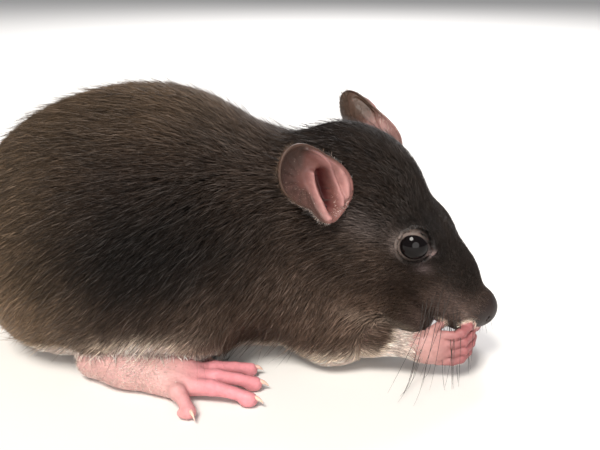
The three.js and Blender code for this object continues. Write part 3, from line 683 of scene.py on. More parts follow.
def want(P):
    """Edge length wanted at a point."""
    q = to_head(P)
    d = np.full(len(P), 9.0)
    for s in (-1, 1):
        e = np.linalg.norm(q - EYE_AT * (1, s, 1), axis=-1)
        d = np.minimum(d, np.where(e < 6.2, 0.24, np.where(e < 8, 0.5, 9)))
    d = np.minimum(d, np.where((q[:, 0] > 39) & (P[:, 2] > 6), 0.3, 9))
    d = np.minimum(d, np.where((q[:, 0] > 26) & (q[:, 2] > -16), 0.52, 9))
    d = np.minimum(d, np.where(arm_form(P) < 0.4, 0.44, 9))
    d = np.minimum(d, np.where((foot_form(P) < 0.4) & (P[:, 0] > -33), 0.52, 9))
    return d


V, T = split_long(V, T, want, fine, 3)
V = pull(fine, V, 2, 0.1)

N = unit(slope(fine, V))
fur_d, head_m, depth = fields(V)
bare = chunked(bare_form, V)
fur_share = sstep(0.1, 0.7, bare)
skin_C = skin_tint(V, fur_share)
SKIN = (V.copy(), T.copy(), N.copy())


# ------------------------------------------------------------------ ears
def seg_dist(p, a, b):
    a, b = np.array(a, float), np.array(b, float)
    t = np.clip(((p - a) @ (b - a)) / ((b - a) @ (b - a)), 0, 1)
    return np.linalg.norm(p - a - t[..., None] * (b - a), axis=-1), t


def line_dist(p, line):
    """Distance to a line through several points."""
    return np.min([seg_dist(p, a, b)[0] for a, b in zip(line, line[1:])], axis=0)


# the pinna's edge: angle round the bowl from the tip towards the front, and reach in mm
EAR_REACH = (
    (15, 9.9), (30, 8.2), (55, 6.6), (80, 6.7), (104, 7.7), (121, 8.8), (135, 9.5), (147, 9.8), (161, 9.3), (174, 9.2), (188, 9.5),
    (199, 9.3), (210, 8.2), (220, 6.4), (235, 5.1), (260, 5.4), (285, 6.5), (301, 7.8), (316, 9.0), (330, 10.0), (345, 10.9), (358, 11.1),
)  # fmt: skip
_t = np.radians([a for a, _ in EAR_REACH])
EAR_TH = np.linspace(0, 2 * np.pi, 361)
EAR_R = np.interp(EAR_TH, np.concatenate([_t - 2 * np.pi, _t, _t + 2 * np.pi]), [r for _, r in EAR_REACH] * 3)
_k = np.exp(-((np.arange(-18, 19) / 8.0) ** 2))
EAR_R = np.convolve(np.concatenate([EAR_R[-19:-1], EAR_R, EAR_R[1:19]]), _k / _k.sum(), "valid")
EAR_EDGE = ((8.6, 2.4), (6.2, 3.5), (4.2, 4.1), (2.0, 4.4), (0.0, 4.3), (-2.0, 3.9), (-3.8, 3.3), (-5.4, 2.5), (-6.6, 1.5))
EAR_RIDGE = ((2.4, 0.9), (0.2, -0.1), (-2.0, -1.0), (-4.2, -1.8), (-6.6, -2.6))
EAR_CANAL = ((0.9, 3.0), (-0.6, 2.5), (-2.9, 1.5), (-4.6, 0.5), (-6.0, -0.5))
EAR_TRAGUS = ((-1.5, 5.4), (-4.0, 4.8), (-6.0, 3.6))


def ear_surface(s, r, th, side):
    """Point of the pinna at polar r, th: side +1 is the inner face, -1 the back."""
    e = EARS[s]
    c, sn = np.cos(th), np.sin(th)  # c towards the tip, sn towards the front edge
    R = np.interp(np.mod(th, 2 * np.pi), EAR_TH, EAR_R)
    al, fe = 1.0 + R * c * r, -0.4 + R * sn * r
    pt = np.stack([al, fe], -1)
    nu = -4.3 * (1 - r**2)
    front = np.clip(sn, 0, 1) ** 1.5
    nu = nu - 1.1 * front * r**3  # the front edge lies back on the cheek
    nu = nu + 0.5 * sstep(0.88, 0.96, r) * (0.35 + 0.65 * np.clip(c, 0, 1)) - 0.5 * sstep(0.965, 1, r)  # rolled rim
    inside = sstep(1.0, 0.86, r)
    fold = 1.5 * np.exp(-((line_dist(pt, EAR_EDGE) / 0.55) ** 2))
    roll = 0.9 * np.exp(-(((r - 0.84) / 0.11) ** 2)) * sstep(0.15, 0.7, sn)
    ridge = 1.7 * np.exp(-((line_dist(pt, EAR_RIDGE) / 0.85) ** 2))
    canal = 2.6 * np.exp(-((line_dist(pt, EAR_CANAL) / 0.95) ** 2))
    tragus = 0.8 * np.exp(-((line_dist(pt, EAR_TRAGUS) / 0.7) ** 2))
    rays = 0.13 * np.cos(17 * th + 3 * np.sin(2 * th)) * sstep(0.3, 0.5, r) * sstep(0.96, 0.8, r) * (sn < 0.5)
    extra = (fold + ridge - canal + tragus + roll) * inside + rays
    fine_n = 0.06 * noise(np.stack([al, fe, nu], -1) + 50 * s, 0.9, 8)
    thick = lerp(0.95, 0.52, r**0.8)
    inner = nu + extra + fine_n
    outer = nu + 0.5 * extra - thick - np.maximum(canal, 0) * 0.35 + 0.5 * fine_n
    v = inner if side > 0 else np.minimum(outer, inner - 0.35)
    return e["mid"] + al[..., None] * e["a"] + fe[..., None] * e["f"] + v[..., None] * e["n"], pt, extra, canal


def line_side(pt):
    """Below zero behind the antihelix."""
    return (pt[..., 1] + 0.9 - 0.38 * pt[..., 0]) / 2.0


def ear_mesh(s, NR=46, NT=140):
    r = (np.arange(1, NR + 1) / NR) ** 0.8
    th = 2 * np.pi * np.arange(NT) / NT
    Rg, Tg = np.meshgrid(r, th, indexing="ij")
    parts, tints = [], []
    for side in (1, -1):
        zero = np.zeros(1)
        p0, pt0, ex0, cn0 = ear_surface(s, zero, zero, side)
        p, pt, ex, cn = ear_surface(s, Rg.ravel(), Tg.ravel(), side)
        parts.append(np.concatenate([p0, p]))
        rr = np.concatenate([[0], Rg.ravel()])
        tt = np.concatenate([[0], Tg.ravel()])
        pt = np.concatenate([pt0, pt])
        cn = np.concatenate([cn0, cn])
        ex = np.concatenate([ex0, ex])
        back = sstep(0.2, -0.5, np.sin(tt)) * sstep(0.1, 0.45, rr)
        c = np.broadcast_to(srgb(112, 74, 68), (len(rr), 3)).copy()
        if side > 0:
            lobe = sstep(0.35, -0.45, line_side(pt)) * sstep(0.1, 0.5, rr)
            c = mixc(c, srgb(72, 53, 47), 0.9 * lobe)
            c = mixc(c, srgb(40, 27, 21), 0.85 * sstep(4.0, 10, pt[:, 0]))
            c = mixc(c, srgb(160, 116, 112), 0.85 * np.clip(ex, 0, 1.4) / 1.4 * sstep(9, 4, pt[:, 0]))
            c = mixc(c, srgb(70, 28, 28), 0.95 * np.clip(cn / 2.0, 0, 1) ** 1.2)
            c = mixc(c, srgb(70, 50, 40), 0.85 * sstep(0.88, 0.98, rr) * sstep(-0.5, 0.3, np.cos(tt)))
        else:
            c = mixc(c, srgb(168, 130, 124), 0.8 * sstep(4, -2, pt[:, 0]))
            c = mixc(c, srgb(66, 50, 40), 0.95 * sstep(-1.5, 5.5, pt[:, 0]))
        c = c * (1 + 0.10 * noise(parts[-1], 1.7, 9) + 0.06 * noise(parts[-1], 0.6, 10))[:, None]
        tints.append(c)
    per = 1 + NR * NT
    k = np.arange(NT)
    k2 = (k + 1) % NT
    tri = []
    for layer, flip in ((0, s < 0), (1, s > 0)):
        o = layer * per
        t = [np.stack([np.full(NT, o), o + 1 + k, o + 1 + k2], 1)]
        for i in range(NR - 1):
            a, b = o + 1 + i * NT + k, o + 1 + i * NT + k2
            t += [np.stack([a, a + NT, b + NT], 1), np.stack([a, b + NT, b], 1)]
        t = np.concatenate(t)
        tri.append(t[:, ::-1] if flip else t)
    a, b = 1 + (NR - 1) * NT + k, 1 + (NR - 1) * NT + k2
    rim = np.concatenate([np.stack([a, a + per, b], 1), np.stack([b, a + per, b + per], 1)])
    tri.append(rim[:, ::-1] if s < 0 else rim)
    Vh = np.concatenate(parts)
    return HEAD_AT + Vh @ HA, np.concatenate(tri), np.concatenate(tints)


# ------------------------------------------------------------------ tail
def tail_line(n):
    step = TAIL_LENGTH / n
    x, y = TAIL_START
    pts, rad = [], []
    for i in range(n + 1):
        u = i / n
        r = TAIL_ROOT + (TAIL_TIP - TAIL_ROOT) * u**0.9
        lift = 6.2 * (1 - min(max(u / 0.16, 0), 1)) ** 2
        pts.append((x, y, r * 0.985 + lift))
        rad.append(r)
        h = math.pi * 0.98 - 0.62 * math.sin(u * 2.07 * math.pi)
        x += step * math.cos(h)
        y += step * math.sin(h)
    return np.array(pts), np.array(rad)


def tail_mesh():
    rings = 186
    n = rings * 2
    C, R = tail_line(n)
    i = np.arange(n + 1)
    R = R * (1 + 0.028 * np.where(i % 2 == 0, 1, -1)) - 0.05
    u = i / n
    R[-4:] *= np.array([0.95, 0.8, 0.55, 0.2])
    V, T = tube_mesh(C, R, 26)
    V[:, 2] = np.maximum(V[:, 2], 0.02)
    w = np.concatenate([np.repeat(u, 26), [0, 1]])
    c = mixc(srgb(156, 124, 114), srgb(196, 150, 142), sstep(0.1, 0.9, w))
    top = np.concatenate([np.tile(np.sin(2 * np.pi * np.arange(26) / 26), n + 1), [0, 0]])
    c = mixc(c, srgb(104, 84, 78), 0.5 * sstep(-0.1, 0.9, top) * (1 - 0.6 * w))
    ringd = np.concatenate([np.repeat(np.where(i % 2 == 0, 1.06, 0.8), 26), [1, 1]])
    c = c * ringd[:, None] * (1 + 0.1 * noise(V, 3, 12))[:, None]
    return V, T, c


pieces = [(V, T, skin_C)]
for s in (-1, 1):
    pieces.append(ear_mesh(s, *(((36, 112)))))
pieces.append(tail_mesh())
off, VV, TT, CC = 0, [], [], []
for v, t, c in pieces:
    VV.append(v)
    TT.append(t + off)
    CC.append(c)
    off += len(v)
skin = obj("skin", np.concatenate(VV), np.concatenate(TT))
paint(skin, "tint", np.concatenate(CC))
value(skin, "bare", np.concatenate([1 - fur_share] + [np.ones(len(v)) for v, _, _ in pieces[1:]]))
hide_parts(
    "head", "neck", "trunk", "thigh_right", "thigh_left", "upper_arm_right", "upper_arm_left", "forearm_right", "forearm_left",
    "hand_right", "hand_left", "hind_foot_right", "hind_foot_left", "ear_right", "ear_left", "tail_1", "tail_2", "tail_3", "tail_4",
)

# ------------------------------------------------------------------ the coat
def lie_of_coat(P, N):
    """Direction the hair runs, on the skin."""
    q = to_head(P)
    _, m, _ = fields(P, q)
    x, y, z = P.T
    side = sstep(6, 20, np.abs(y)) * sstep(58, 30, z)
    d = np.stack([-np.ones_like(x), 0.12 * np.sign(y) * side, -0.62 * side - 0.05], -1)
    # thigh and shank: back and down
    for s in (-1, 1):
        w = bump3(P, (-40, s * 24, 17), (16, 12, 12))[:, None]
        d = d * (1 - w) + w * np.array([-0.75, 0.1 * s, -0.75])
        a = (bump3(P, (-2, -16, 16), (12, 12, 10)) if s < 0 else bump3(P, (-2, 12, 16), (12, 12, 10)))[:, None]
        d = d * (1 - a) + a * np.array([-0.25, 0, -1.0])
    fore = (sstep(2.5, 0.5, arm_form(P)) * sstep(10, 15, x))[:, None]
    d = d * (1 - fore) + fore * np.array([0.95, -0.2, -0.1])
    foot = sstep(1.5, 0.2, foot_form(P))[:, None]
    d = d * (1 - foot) + foot * np.array([0.95, 0, -0.2])
    # head: from the nose back, down on the cheek, parting round the eye
    h = np.stack([-np.ones(len(P)), 0.25 * np.sign(q[:, 1]) * sstep(2, 8, np.abs(q[:, 1])), -0.30 * sstep(3, -6, q[:, 2])], -1)
    mz = sstep(27, 36, q[:, 0]) * sstep(1, -5, q[:, 2])
    h = h * (1 - mz[:, None]) + mz[:, None] * np.array([-0.75, 0, -1.0])
    for s, c, n, t, b in eye_frames():
        r = q - c
        e = np.linalg.norm(r, axis=-1)
        w = np.exp(-((e / 7.5) ** 4))[:, None] * 0.8
        out = r - (r @ n)[:, None] * n
        h = h * (1 - w) + w * unit(unit(out) * 0.75 + np.array([-0.7, 0, -0.05]))
    d = d * (1 - m[:, None]) + (h @ HA) * m[:, None]
    wob = np.stack([noise(P, 6, 21), noise(P, 6, 22), noise(P, 6, 23)], -1)
    wob2 = np.stack([noise(P, 2.2, 24), noise(P, 2.2, 25), noise(P, 2.2, 26)], -1)
    d = unit(d) + 0.16 * wob + 0.13 * wob2
    d = d - (d * N).sum(-1, keepdims=True) * N
    return unit(d)


def hair_plan(P):
    """Length, width and number of tufts for each square mm."""
    q = to_head(P)
    _, m, depth = fields(P, q)
    x, y, z = P.T
    ln = 7.0 - 1.8 * sstep(-30, -2, x) - 1.2 * sstep(12, 3, z)
    ln = ln * (1 - m) + m * lerp(4.6, 1.25, sstep(-4, 33, q[:, 0]))
    ln = ln + 1.2 * m * sstep(4, -8, q[:, 0]) + 0.8 * m * sstep(-2, -10, q[:, 2]) * sstep(24, 12, q[:, 0])
    wd = 0.27 * (1 - m) + m * lerp(0.22, 0.12, sstep(2, 32, q[:, 0]))
    dn = 3.4 * (1 - m) + m * lerp(5.6, 13, sstep(6, 32, q[:, 0]))
    dn = dn * lerp(0.4, 1, sstep(0.6, 5, z))
    for s in (-1, 1):
        e = np.linalg.norm(q - EYE_AT * (1, s, 1), axis=-1)
        near = np.exp(-((e / 6.6) ** 4))
        ln = ln * (1 - 0.62 * near)
        wd = wd * (1 - 0.35 * near)
        dn = dn * (1 + 1.4 * near)
    dn = dn * sstep(1.12, 1.22, lids(q)[0])
    for s, e in EARS.items():
        r = q - e["mid"]
        al, fe, nu = r @ e["a"], r @ e["f"], r @ e["n"]
        g = np.sqrt(((al + 0.2) / 9.6) ** 2 + ((fe - 1.4) / 8.6) ** 2)
        under = np.abs(nu) < 8
        dn = np.where(under, dn * sstep(0.86, 1.0, g), dn)
        ln = np.where(under, ln * lerp(0.45, 1, sstep(0.9, 1.35, g)), ln)
    bare_d = bare_form(P)
    share = sstep(0.15, 0.9, bare_d)
    arm = arm_form(P)
    foot = foot_form(P)
    on_arm = sstep(0.8, 0.1, arm)
    on_foot = sstep(0.8, 0.1, foot)
    ln = ln * (1 - np.maximum(on_arm, on_foot)) + on_arm * lerp(3.2, 0.8, sstep(16, 29, x)) + on_foot * (1 - (on_arm > 0.5)) * 1.3
    wd = wd * (1 - np.maximum(on_arm, on_foot)) + np.maximum(on_arm, on_foot) * 0.15
    ln = ln * lerp(0.4, 1, sstep(1, 9, foot))
    dn = dn * share + on_arm * lerp(14, 0, sstep(20, 28, x))
    dn = dn + on_foot * 6.5 * sstep(-26, -36, x) * sstep(1.2, 3.4, z)
    dn = dn * (1 - sstep(40.6, 42.0, q[:, 0]))
    dn = dn * (ear_room(q) > 0.5)
    # none on the nose's tip with its nostrils, and none on the lids
    return ln, wd, np.maximum(dn, 0), m


def scatter(V, T, N, plan, rng, scale=1.0):
    a, b, c = V[T[:, 0]], V[T[:, 1]], V[T[:, 2]]
    area = np.linalg.norm(np.cross(b - a, c - a), axis=1) / 2
    _, _, dn, _ = plan((a + b + c) / 3)
    want_n = area * dn * scale
    k = np.floor(want_n + rng.random(len(want_n))).astype(int)
    t = np.repeat(np.arange(len(T)), k)
    u, v = rng.random(len(t)), rng.random(len(t))
    over = u + v > 1
    u[over], v[over] = 1 - u[over], 1 - v[over]
    w = 1 - u - v
    t = T[t]
    P = V[t[:, 0]] * w[:, None] + V[t[:, 1]] * u[:, None] + V[t[:, 2]] * v[:, None]
    M = unit(N[t[:, 0]] * w[:, None] + N[t[:, 1]] * u[:, None] + N[t[:, 2]] * v[:, None])
    return P, M


def blades(root, mid, tip, wide, n, width, thick):
    """Closed tapering blades: 7 points and 10 triangles each."""
    k = len(root)
    w = wide * (width / 2)[:, None]
    up = n * thick[:, None]
    V = np.stack([root - w, root + w, root + up, mid - w * 0.82, mid + w * 0.82, mid + up * 0.85, tip], 1)
    t = np.array([(0, 2, 1), (0, 1, 4), (0, 4, 3), (1, 2, 5), (1, 5, 4), (2, 0, 3), (2, 3, 5), (3, 4, 6), (4, 5, 6), (5, 3, 6)])
    T = (t[None] + 7 * np.arange(k)[:, None, None]).reshape(-1, 3)
    return V.reshape(-1, 3), T


def spikes(root, mid, tip, wide, n, width, thick):
    """Closed fine points without a middle: 4 points and 4 triangles each."""
    k = len(root)
    w = wide * (width / 2)[:, None]
    V = np.stack([root - w, root + w, root + n * thick[:, None], tip], 1)
    t = np.array([(0, 2, 1), (0, 1, 3), (1, 2, 3), (2, 0, 3)])
    return V.reshape(-1, 3), (t[None] + 4 * np.arange(k)[:, None, None]).reshape(-1, 3)


def grow(P, N, lie, ln, wd, lift0, lift1, rng, form, spread=0.10, shape=blades):
    """Tufts from roots P: lift0 and lift1 are the heights of middle and tip over the skin, in mm."""
    k = len(P)
    side = np.cross(N, lie)
    a = rng.normal(0, spread, k)[:, None]
    lie = unit(lie + a * side)
    ln = ln * rng.uniform(0.72, 1.15, k)
    mid = P + lie * (ln * 0.5)[:, None] + N * lift0[:, None]
    tip = P + lie * ln[:, None] + N * lift1[:, None]
    for pt, h in ((mid, lift0), (tip, lift1)):
        for _ in range(2):
            pt -= N * (chunked(form, pt) - h)[:, None]
    root = P - N * 0.12
    for pt in (mid, tip):
        pt[:, 2] = np.maximum(pt[:, 2], 0.12)
    wide = unit(np.cross(lie, N))
    # hair that would lie over a foot or a hand stops short of it
    near = np.minimum(chunked(bare_form, tip), chunked(bare_form, mid))
    over = (near < 0.9) & (chunked(bare_form, P) > 0.9)
    for pt, at in ((mid, 0.15), (tip, 0.3)):
        pt[over] = (P + (pt - P) * at / (0.5 if pt is mid else 1.0))[over]
    return shape(root, mid, tip, wide, N, wd, wd * 0.42)


def shades(tint, k, rng, light=0.13, points=7):
    """Colour at the points of each tuft."""
    r = rng.random(k)
    f = 1 + 0.26 * rng.normal(0, 1, k)
    f = np.clip(f, 0.5, 1.7)
    c = tint * f[:, None]
    pale = r < light
    c[pale] = c[pale] * 0.4 + 0.6 * (tint[pale] * 2.4 + 0.03)
    mult = np.array([0.55, 0.55, 0.6, 0.95, 0.95, 1.0, 1.35] if points == 7 else [0.6, 0.6, 0.65, 1.35])
    return np.clip(c[:, None, :] * mult[None, :, None], 0.001, 1).reshape(-1, 3)


def body_uv(P):
    """Unwrap of the trunk round its spine."""
    a = np.arctan2(P[:, 1], P[:, 2] - 24)
    return np.stack([P[:, 0], a * 24], -1)


def head_uv(P):
    q = to_head(P)
    a = np.arctan2(q[:, 1], q[:, 2] + 2)
    return np.stack([q[:, 0], a * 11], -1)


def limb_uv(P):
    """Unwrap of the limbs, each laid out beside the others."""
    s = np.sign(P[:, 1])
    a = np.arctan2(P[:, 1] - s * 22, P[:, 2] - 6)
    return np.stack([P[:, 0], a * 8 + s * 60], -1)


def coat_piece(name, V, T, C, uv_root, points=7):
    """One object of tufts, each tuft a small patch of the bake map at its root's place."""
    o = obj(name, V, T)
    paint(o, "tint", C)
    lo, hi = uv_root.min(0), uv_root.max(0)
    r = 0.01 + 0.977 * (uv_root - lo) / np.maximum(hi - lo, 1e-6)
    px = 0.003 * np.array([(-0.5, 0), (0.5, 0), (0, 0.1), (-0.45, 0.5), (0.45, 0.5), (0, 0.55), (0, 1)])
    if points == 4:
        px = px[[0, 1, 2, 6]]
    UV = (r[:, None] + px[None]).reshape(-1, 2)
    uvs(o, T, UV)
    o.data.materials.append(COAT)
    made.append((name, len(T)))
    return o


# ------------------------------------------------------------------ materials
def material(name):
    m = bpy.data.materials.new(name)
    m.use_nodes = True
    nt = m.node_tree
    b = next(n for n in nt.nodes if n.type == "BSDF_PRINCIPLED")
    return m, nt, b


def add(nt, kind, **inputs):
    n = nt.nodes.new(kind)
    for k, v in inputs.items():
        n.inputs[k.replace("_", " ")].default_value = v
    return n


def tint_node(nt):
    n = nt.nodes.new("ShaderNodeAttribute")
    n.attribute_name = "tint"
    return n


def coat_material():
    m, nt, b = material("short_fur")
    a = tint_node(nt)
    co = nt.nodes.new("ShaderNodeTexCoord")
    nz = add(nt, "ShaderNodeTexNoise", Scale=900.0, Detail=2.0)
    nt.links.new(co.outputs["Object"], nz.inputs["Vector"])
    ramp = add(nt, "ShaderNodeMapRange")
    ramp.inputs["To Min"].default_value, ramp.inputs["To Max"].default_value = 0.8, 1.2
    nt.links.new(nz.outputs["Fac"], ramp.inputs["Value"])
    mul = nt.nodes.new("ShaderNodeVectorMath")
    mul.operation = "SCALE"
    nt.links.new(a.outputs["Color"], mul.inputs[0])
    nt.links.new(ramp.outputs["Result"], mul.inputs["Scale"])
    nt.links.new(mul.outputs["Vector"], b.inputs["Base Color"])
    b.inputs["Roughness"].default_value = 0.42
    b.inputs["Specular IOR Level"].default_value = 0.2
    return m


def skin_material():
    m, nt, b = material("skin")
    a = tint_node(nt)
    co = nt.nodes.new("ShaderNodeTexCoord")
    n1 = add(nt, "ShaderNodeTexNoise", Scale=1300.0, Detail=4.0, Roughness=0.6)
    n2 = add(nt, "ShaderNodeTexVoronoi", Scale=1700.0)
    for n in (n1, n2):
        nt.links.new(co.outputs["Object"], n.inputs["Vector"])
    ramp = add(nt, "ShaderNodeMapRange")
    ramp.inputs["To Min"].default_value, ramp.inputs["To Max"].default_value = 0.82, 1.18
    nt.links.new(n1.outputs["Fac"], ramp.inputs["Value"])
    mul = nt.nodes.new("ShaderNodeVectorMath")
    mul.operation = "SCALE"
    nt.links.new(a.outputs["Color"], mul.inputs[0])
    nt.links.new(ramp.outputs["Result"], mul.inputs["Scale"])
    nt.links.new(mul.outputs["Vector"], b.inputs["Base Color"])
    mixn = nt.nodes.new("ShaderNodeMath")
    mixn.operation = "ADD"
    nt.links.new(n1.outputs["Fac"], mixn.inputs[0])
    nt.links.new(n2.outputs["Distance"], mixn.inputs[1])
    bump = add(nt, "ShaderNodeBump", Strength=0.35, Distance=0.00012)
    nt.links.new(mixn.outputs["Value"], bump.inputs["Height"])
    nt.links.new(bump.outputs["Normal"], b.inputs["Normal"])
    b.inputs["Roughness"].default_value = 0.48
    b.inputs["Specular IOR Level"].default_value = 0.28
    b.inputs["Subsurface Weight"].default_value = 0.1
    b.inputs["Subsurface Radius"].default_value = (0.0012, 0.0005, 0.0003)
    b.inputs["Subsurface Scale"].default_value = 1.0
    return m


def plain(name, colour, rough, **more):
    m, nt, b = material(name)
    co = nt.nodes.new("ShaderNodeTexCoord")
    nz = add(nt, "ShaderNodeTexNoise", Scale=500.0, Detail=3.0)
    nt.links.new(co.outputs["Object"], nz.inputs["Vector"])
    mixn = nt.nodes.new("ShaderNodeMix")
    mixn.data_type = "RGBA"
    nt.links.new(nz.outputs["Fac"], mixn.inputs["Factor"])
    mixn.inputs[6].default_value = (*[c * 0.8 for c in colour], 1)
    mixn.inputs[7].default_value = (*[min(1, c * 1.2) for c in colour], 1)
    nt.links.new(mixn.outputs[2], b.inputs["Base Color"])
    b.inputs["Roughness"].default_value = rough
    for k, v in more.items():
        b.inputs[k.replace("_", " ")].default_value = v
    return m


COAT = coat_material()
SKIN_M = skin_material()
skin.data.materials.append(SKIN_M)
made = []

# ------------------------------------------------------------------ growing the coat
SV, ST, SN = SKIN
scale = 1.0
P, M = scatter(SV, ST, SN, hair_plan, rng, scale)
keep = P[:, 2] > 0.3
P, M = P[keep], M[keep]
ln, wd, dn, hm = hair_plan(P)
lie = lie_of_coat(P, M)
_, _, dep = fields(P)
k = len(P)
q = to_head(P)
short = np.maximum(sstep(0.8, 0.1, arm_form(P)), sstep(0.8, 0.1, foot_form(P)))
dep = dep * (1 - short) + short * 0.35
h1 = dep * rng.uniform(0.55, 1.05, k) * lerp(0.45, 1, np.maximum(short, sstep(1, 8, foot_form(P))))
# the nape and crown stand a little ruffled
crown = bump3(P, (6, -5, 51), (16, 13, 7))
h1 = h1 * (1 - 0.45 * crown) + bump3(P, (-25, 0, 62), (30, 14, 5)) * rng.uniform(0, 1, k) ** 2 * 1.0
h0 = h1 * rng.uniform(0.55, 0.85, k)
wd = wd * rng.uniform(0.75, 1.25, k)
bv, bt = grow(P, M, lie, ln, wd, h0, h1, rng, form_rough)
tints = shades(coat_tint(P), k, rng)

BLADE = ((0, 2, 1), (0, 1, 4), (0, 4, 3), (1, 2, 5), (1, 5, 4), (2, 0, 3), (2, 3, 5), (3, 4, 6), (4, 5, 6), (5, 3, 6))
SPIKE = ((0, 2, 1), (0, 1, 3), (1, 2, 3), (2, 0, 3))


def lay(tag, P, hm, short, V, C, points):
    """One layer of tufts as several objects: trunk and head by length, and the limbs."""
    one = np.array(BLADE if points == 7 else SPIKE)
    most = 190000 // len(one)
    V, C = V.reshape(-1, points, 3), C.reshape(-1, points, 3)
    x = to_head(P)[:, 0]
    sets = (
        ("body", np.nonzero((hm <= 0.5) & (short < 0.5))[0], P[:, 0], body_uv),
        ("head", np.nonzero((hm > 0.5) & (short < 0.5))[0], x, head_uv),
        ("limbs", np.nonzero(short >= 0.5)[0], P[:, 0], limb_uv),
    )
    for part, ids, key, unwrap in sets:
        if not len(ids):
            continue
        ids = ids[np.argsort(key[ids])]
        for i, g in enumerate(np.array_split(ids, int(np.ceil(len(ids) / most)))):
            t = (one[None] + points * np.arange(len(g))[:, None, None]).reshape(-1, 3)
            coat_piece(f"coat_{tag}_{part}_{i + 1}", V[g].reshape(-1, 3), t, C[g].reshape(-1, 3), unwrap(P[g]), points=points)


lay("tufts", P, hm, short, bv, tints, 7)


# a finer layer between and over the tufts
def fine_plan(P):
    ln, wd, dn, m = hair_plan(P)
    return ln, wd, dn * lerp(1.7, 1.5, m), m


P, M = scatter(SV, ST, SN, fine_plan, rng, scale)
keep = P[:, 2] > 0.3
P, M = P[keep], M[keep]
ln, wd, dn, hm = hair_plan(P)
lie = lie_of_coat(P, M)
_, _, dep = fields(P)
k = len(P)
short = np.maximum(sstep(0.8, 0.1, arm_form(P)), sstep(0.8, 0.1, foot_form(P)))
dep = dep * (1 - short) + short * 0.3
h1 = dep * rng.uniform(0.8, 1.22, k) * lerp(0.45, 1, np.maximum(short, sstep(1, 8, foot_form(P))))
h1 = h1 * (1 - 0.45 * bump3(P, (6, -5, 51), (16, 13, 7)))
bv, bt = grow(P, M, lie, ln * rng.uniform(0.5, 0.85, k), wd * rng.uniform(0.55, 0.8, k), h1 * 0.5, h1, rng, form_rough, 0.2, spikes)
lay("fine", P, hm, short, bv, shades(coat_tint(P), k, rng, 0.26, 4), 4)


# guard hairs standing out of the coat
def guard_plan(P):
    ln, wd, dn, m = hair_plan(P)
    z = P[:, 2]
    return ln, wd, (0.22 + 0.5 * sstep(44, 60, z)) * (1 - m * sstep(0, 14, to_head(P)[:, 0])) * (bare_form(P) > 5) * (z > 7), m


P, M = scatter(SV, ST, SN, guard_plan, rng, scale)
ln, wd, _, hm = hair_plan(P)
k = len(P)
lie = lie_of_coat(P, M)
h1 = rng.uniform(2.4, 4.6, k) * lerp(1, 0.62, hm)
bv, bt = grow(P, M, lie, (ln + 4.5) * lerp(1, 0.8, hm), np.full(k, 0.15), h1 * 0.5, h1, rng, form_rough, 0.16)
coat_piece("coat_guard", bv, bt, shades(coat_tint(P) * 0.8, k, rng, 0.3), body_uv(P))


# short hair on the ears
def ear_hair(s, side, n):
    r = np.sqrt(rng.uniform(0.05, 1, n))
    th = rng.uniform(0, 2 * np.pi, n)
    p, pt, ex, cn = ear_surface(s, r, th, side)
    a, _, _, _ = ear_surface(s, np.minimum(r + 0.03, 1.03), th, side)
    b, _, _, _ = ear_surface(s, r, th + 0.03, side)
    nrm = unit(np.cross(a - p, b - p)) * (1 if s * side > 0 else -1)
    nrm = nrm * np.sign((nrm * EARS[s]["n"]).sum(-1) * side + 1e-9)[:, None]
    out = unit(a - p)
    e = EARS[s]
    run = unit(out * 0.8 + e["a"] * 0.7)
    keepm = (rng.random(n) < (0.25 + 0.75 * sstep(0.75, 1, r)) if side > 0 else rng.random(n) < (0.5 + 0.5 * sstep(0.2, 0.9, r))) & (cn < 0.8)
    keepm &= ~((np.sin(th) > 0.15) & (np.cos(th) > -0.8) & (rng.random(n) < 0.92))
    p, nrm, run, r, th, pt = p[keepm], nrm[keepm], run[keepm], r[keepm], th[keepm], pt[keepm]
    k = len(p)
    ln = rng.uniform(0.4, 0.9, k) * (0.8 if side > 0 else 1.6)
    tilt = rng.uniform(0.12, 0.3, k)
    root = HEAD_AT + (p - nrm * 0.05) @ HA
    mid = HEAD_AT + (p + run * (ln * 0.5)[:, None] + nrm * (ln * tilt * 0.5)[:, None]) @ HA
    tip = HEAD_AT + (p + run * ln[:, None] + nrm * (ln * tilt)[:, None]) @ HA
    W = unit(np.cross(run, nrm)) @ HA
    wd = rng.uniform(0.07, 0.12, k)
    v, t = spikes(root, mid, tip, W, nrm @ HA, wd, wd * 0.4)
    brown = sstep(-0.2, 0.7, np.cos(th) * r)
    c = mixc(srgb(200, 178, 168), srgb(74, 58, 46), sstep(-2, 5, pt[:, 0]) if side < 0 else 0.6 + 0.4 * sstep(0.7, 1, r))
    return v, t, shades(c, k, rng, 0.2, 4), pt


vs, ts, cs, us = [], [], [], []
off = 0
n_ear = 2600
for s in (-1, 1):
    for side in (1, -1):
        v, t, c, pt = ear_hair(s, side, n_ear if side > 0 else n_ear * 2)
        vs.append(v)
        ts.append(t + off)
        cs.append(c)
        us.append(pt + np.array([0 if s < 0 else 30, 0 if side > 0 else 30]))
        off += len(v)
coat_piece("coat_ears", np.concatenate(vs), np.concatenate(ts), np.concatenate(cs), np.concatenate(us), points=4)

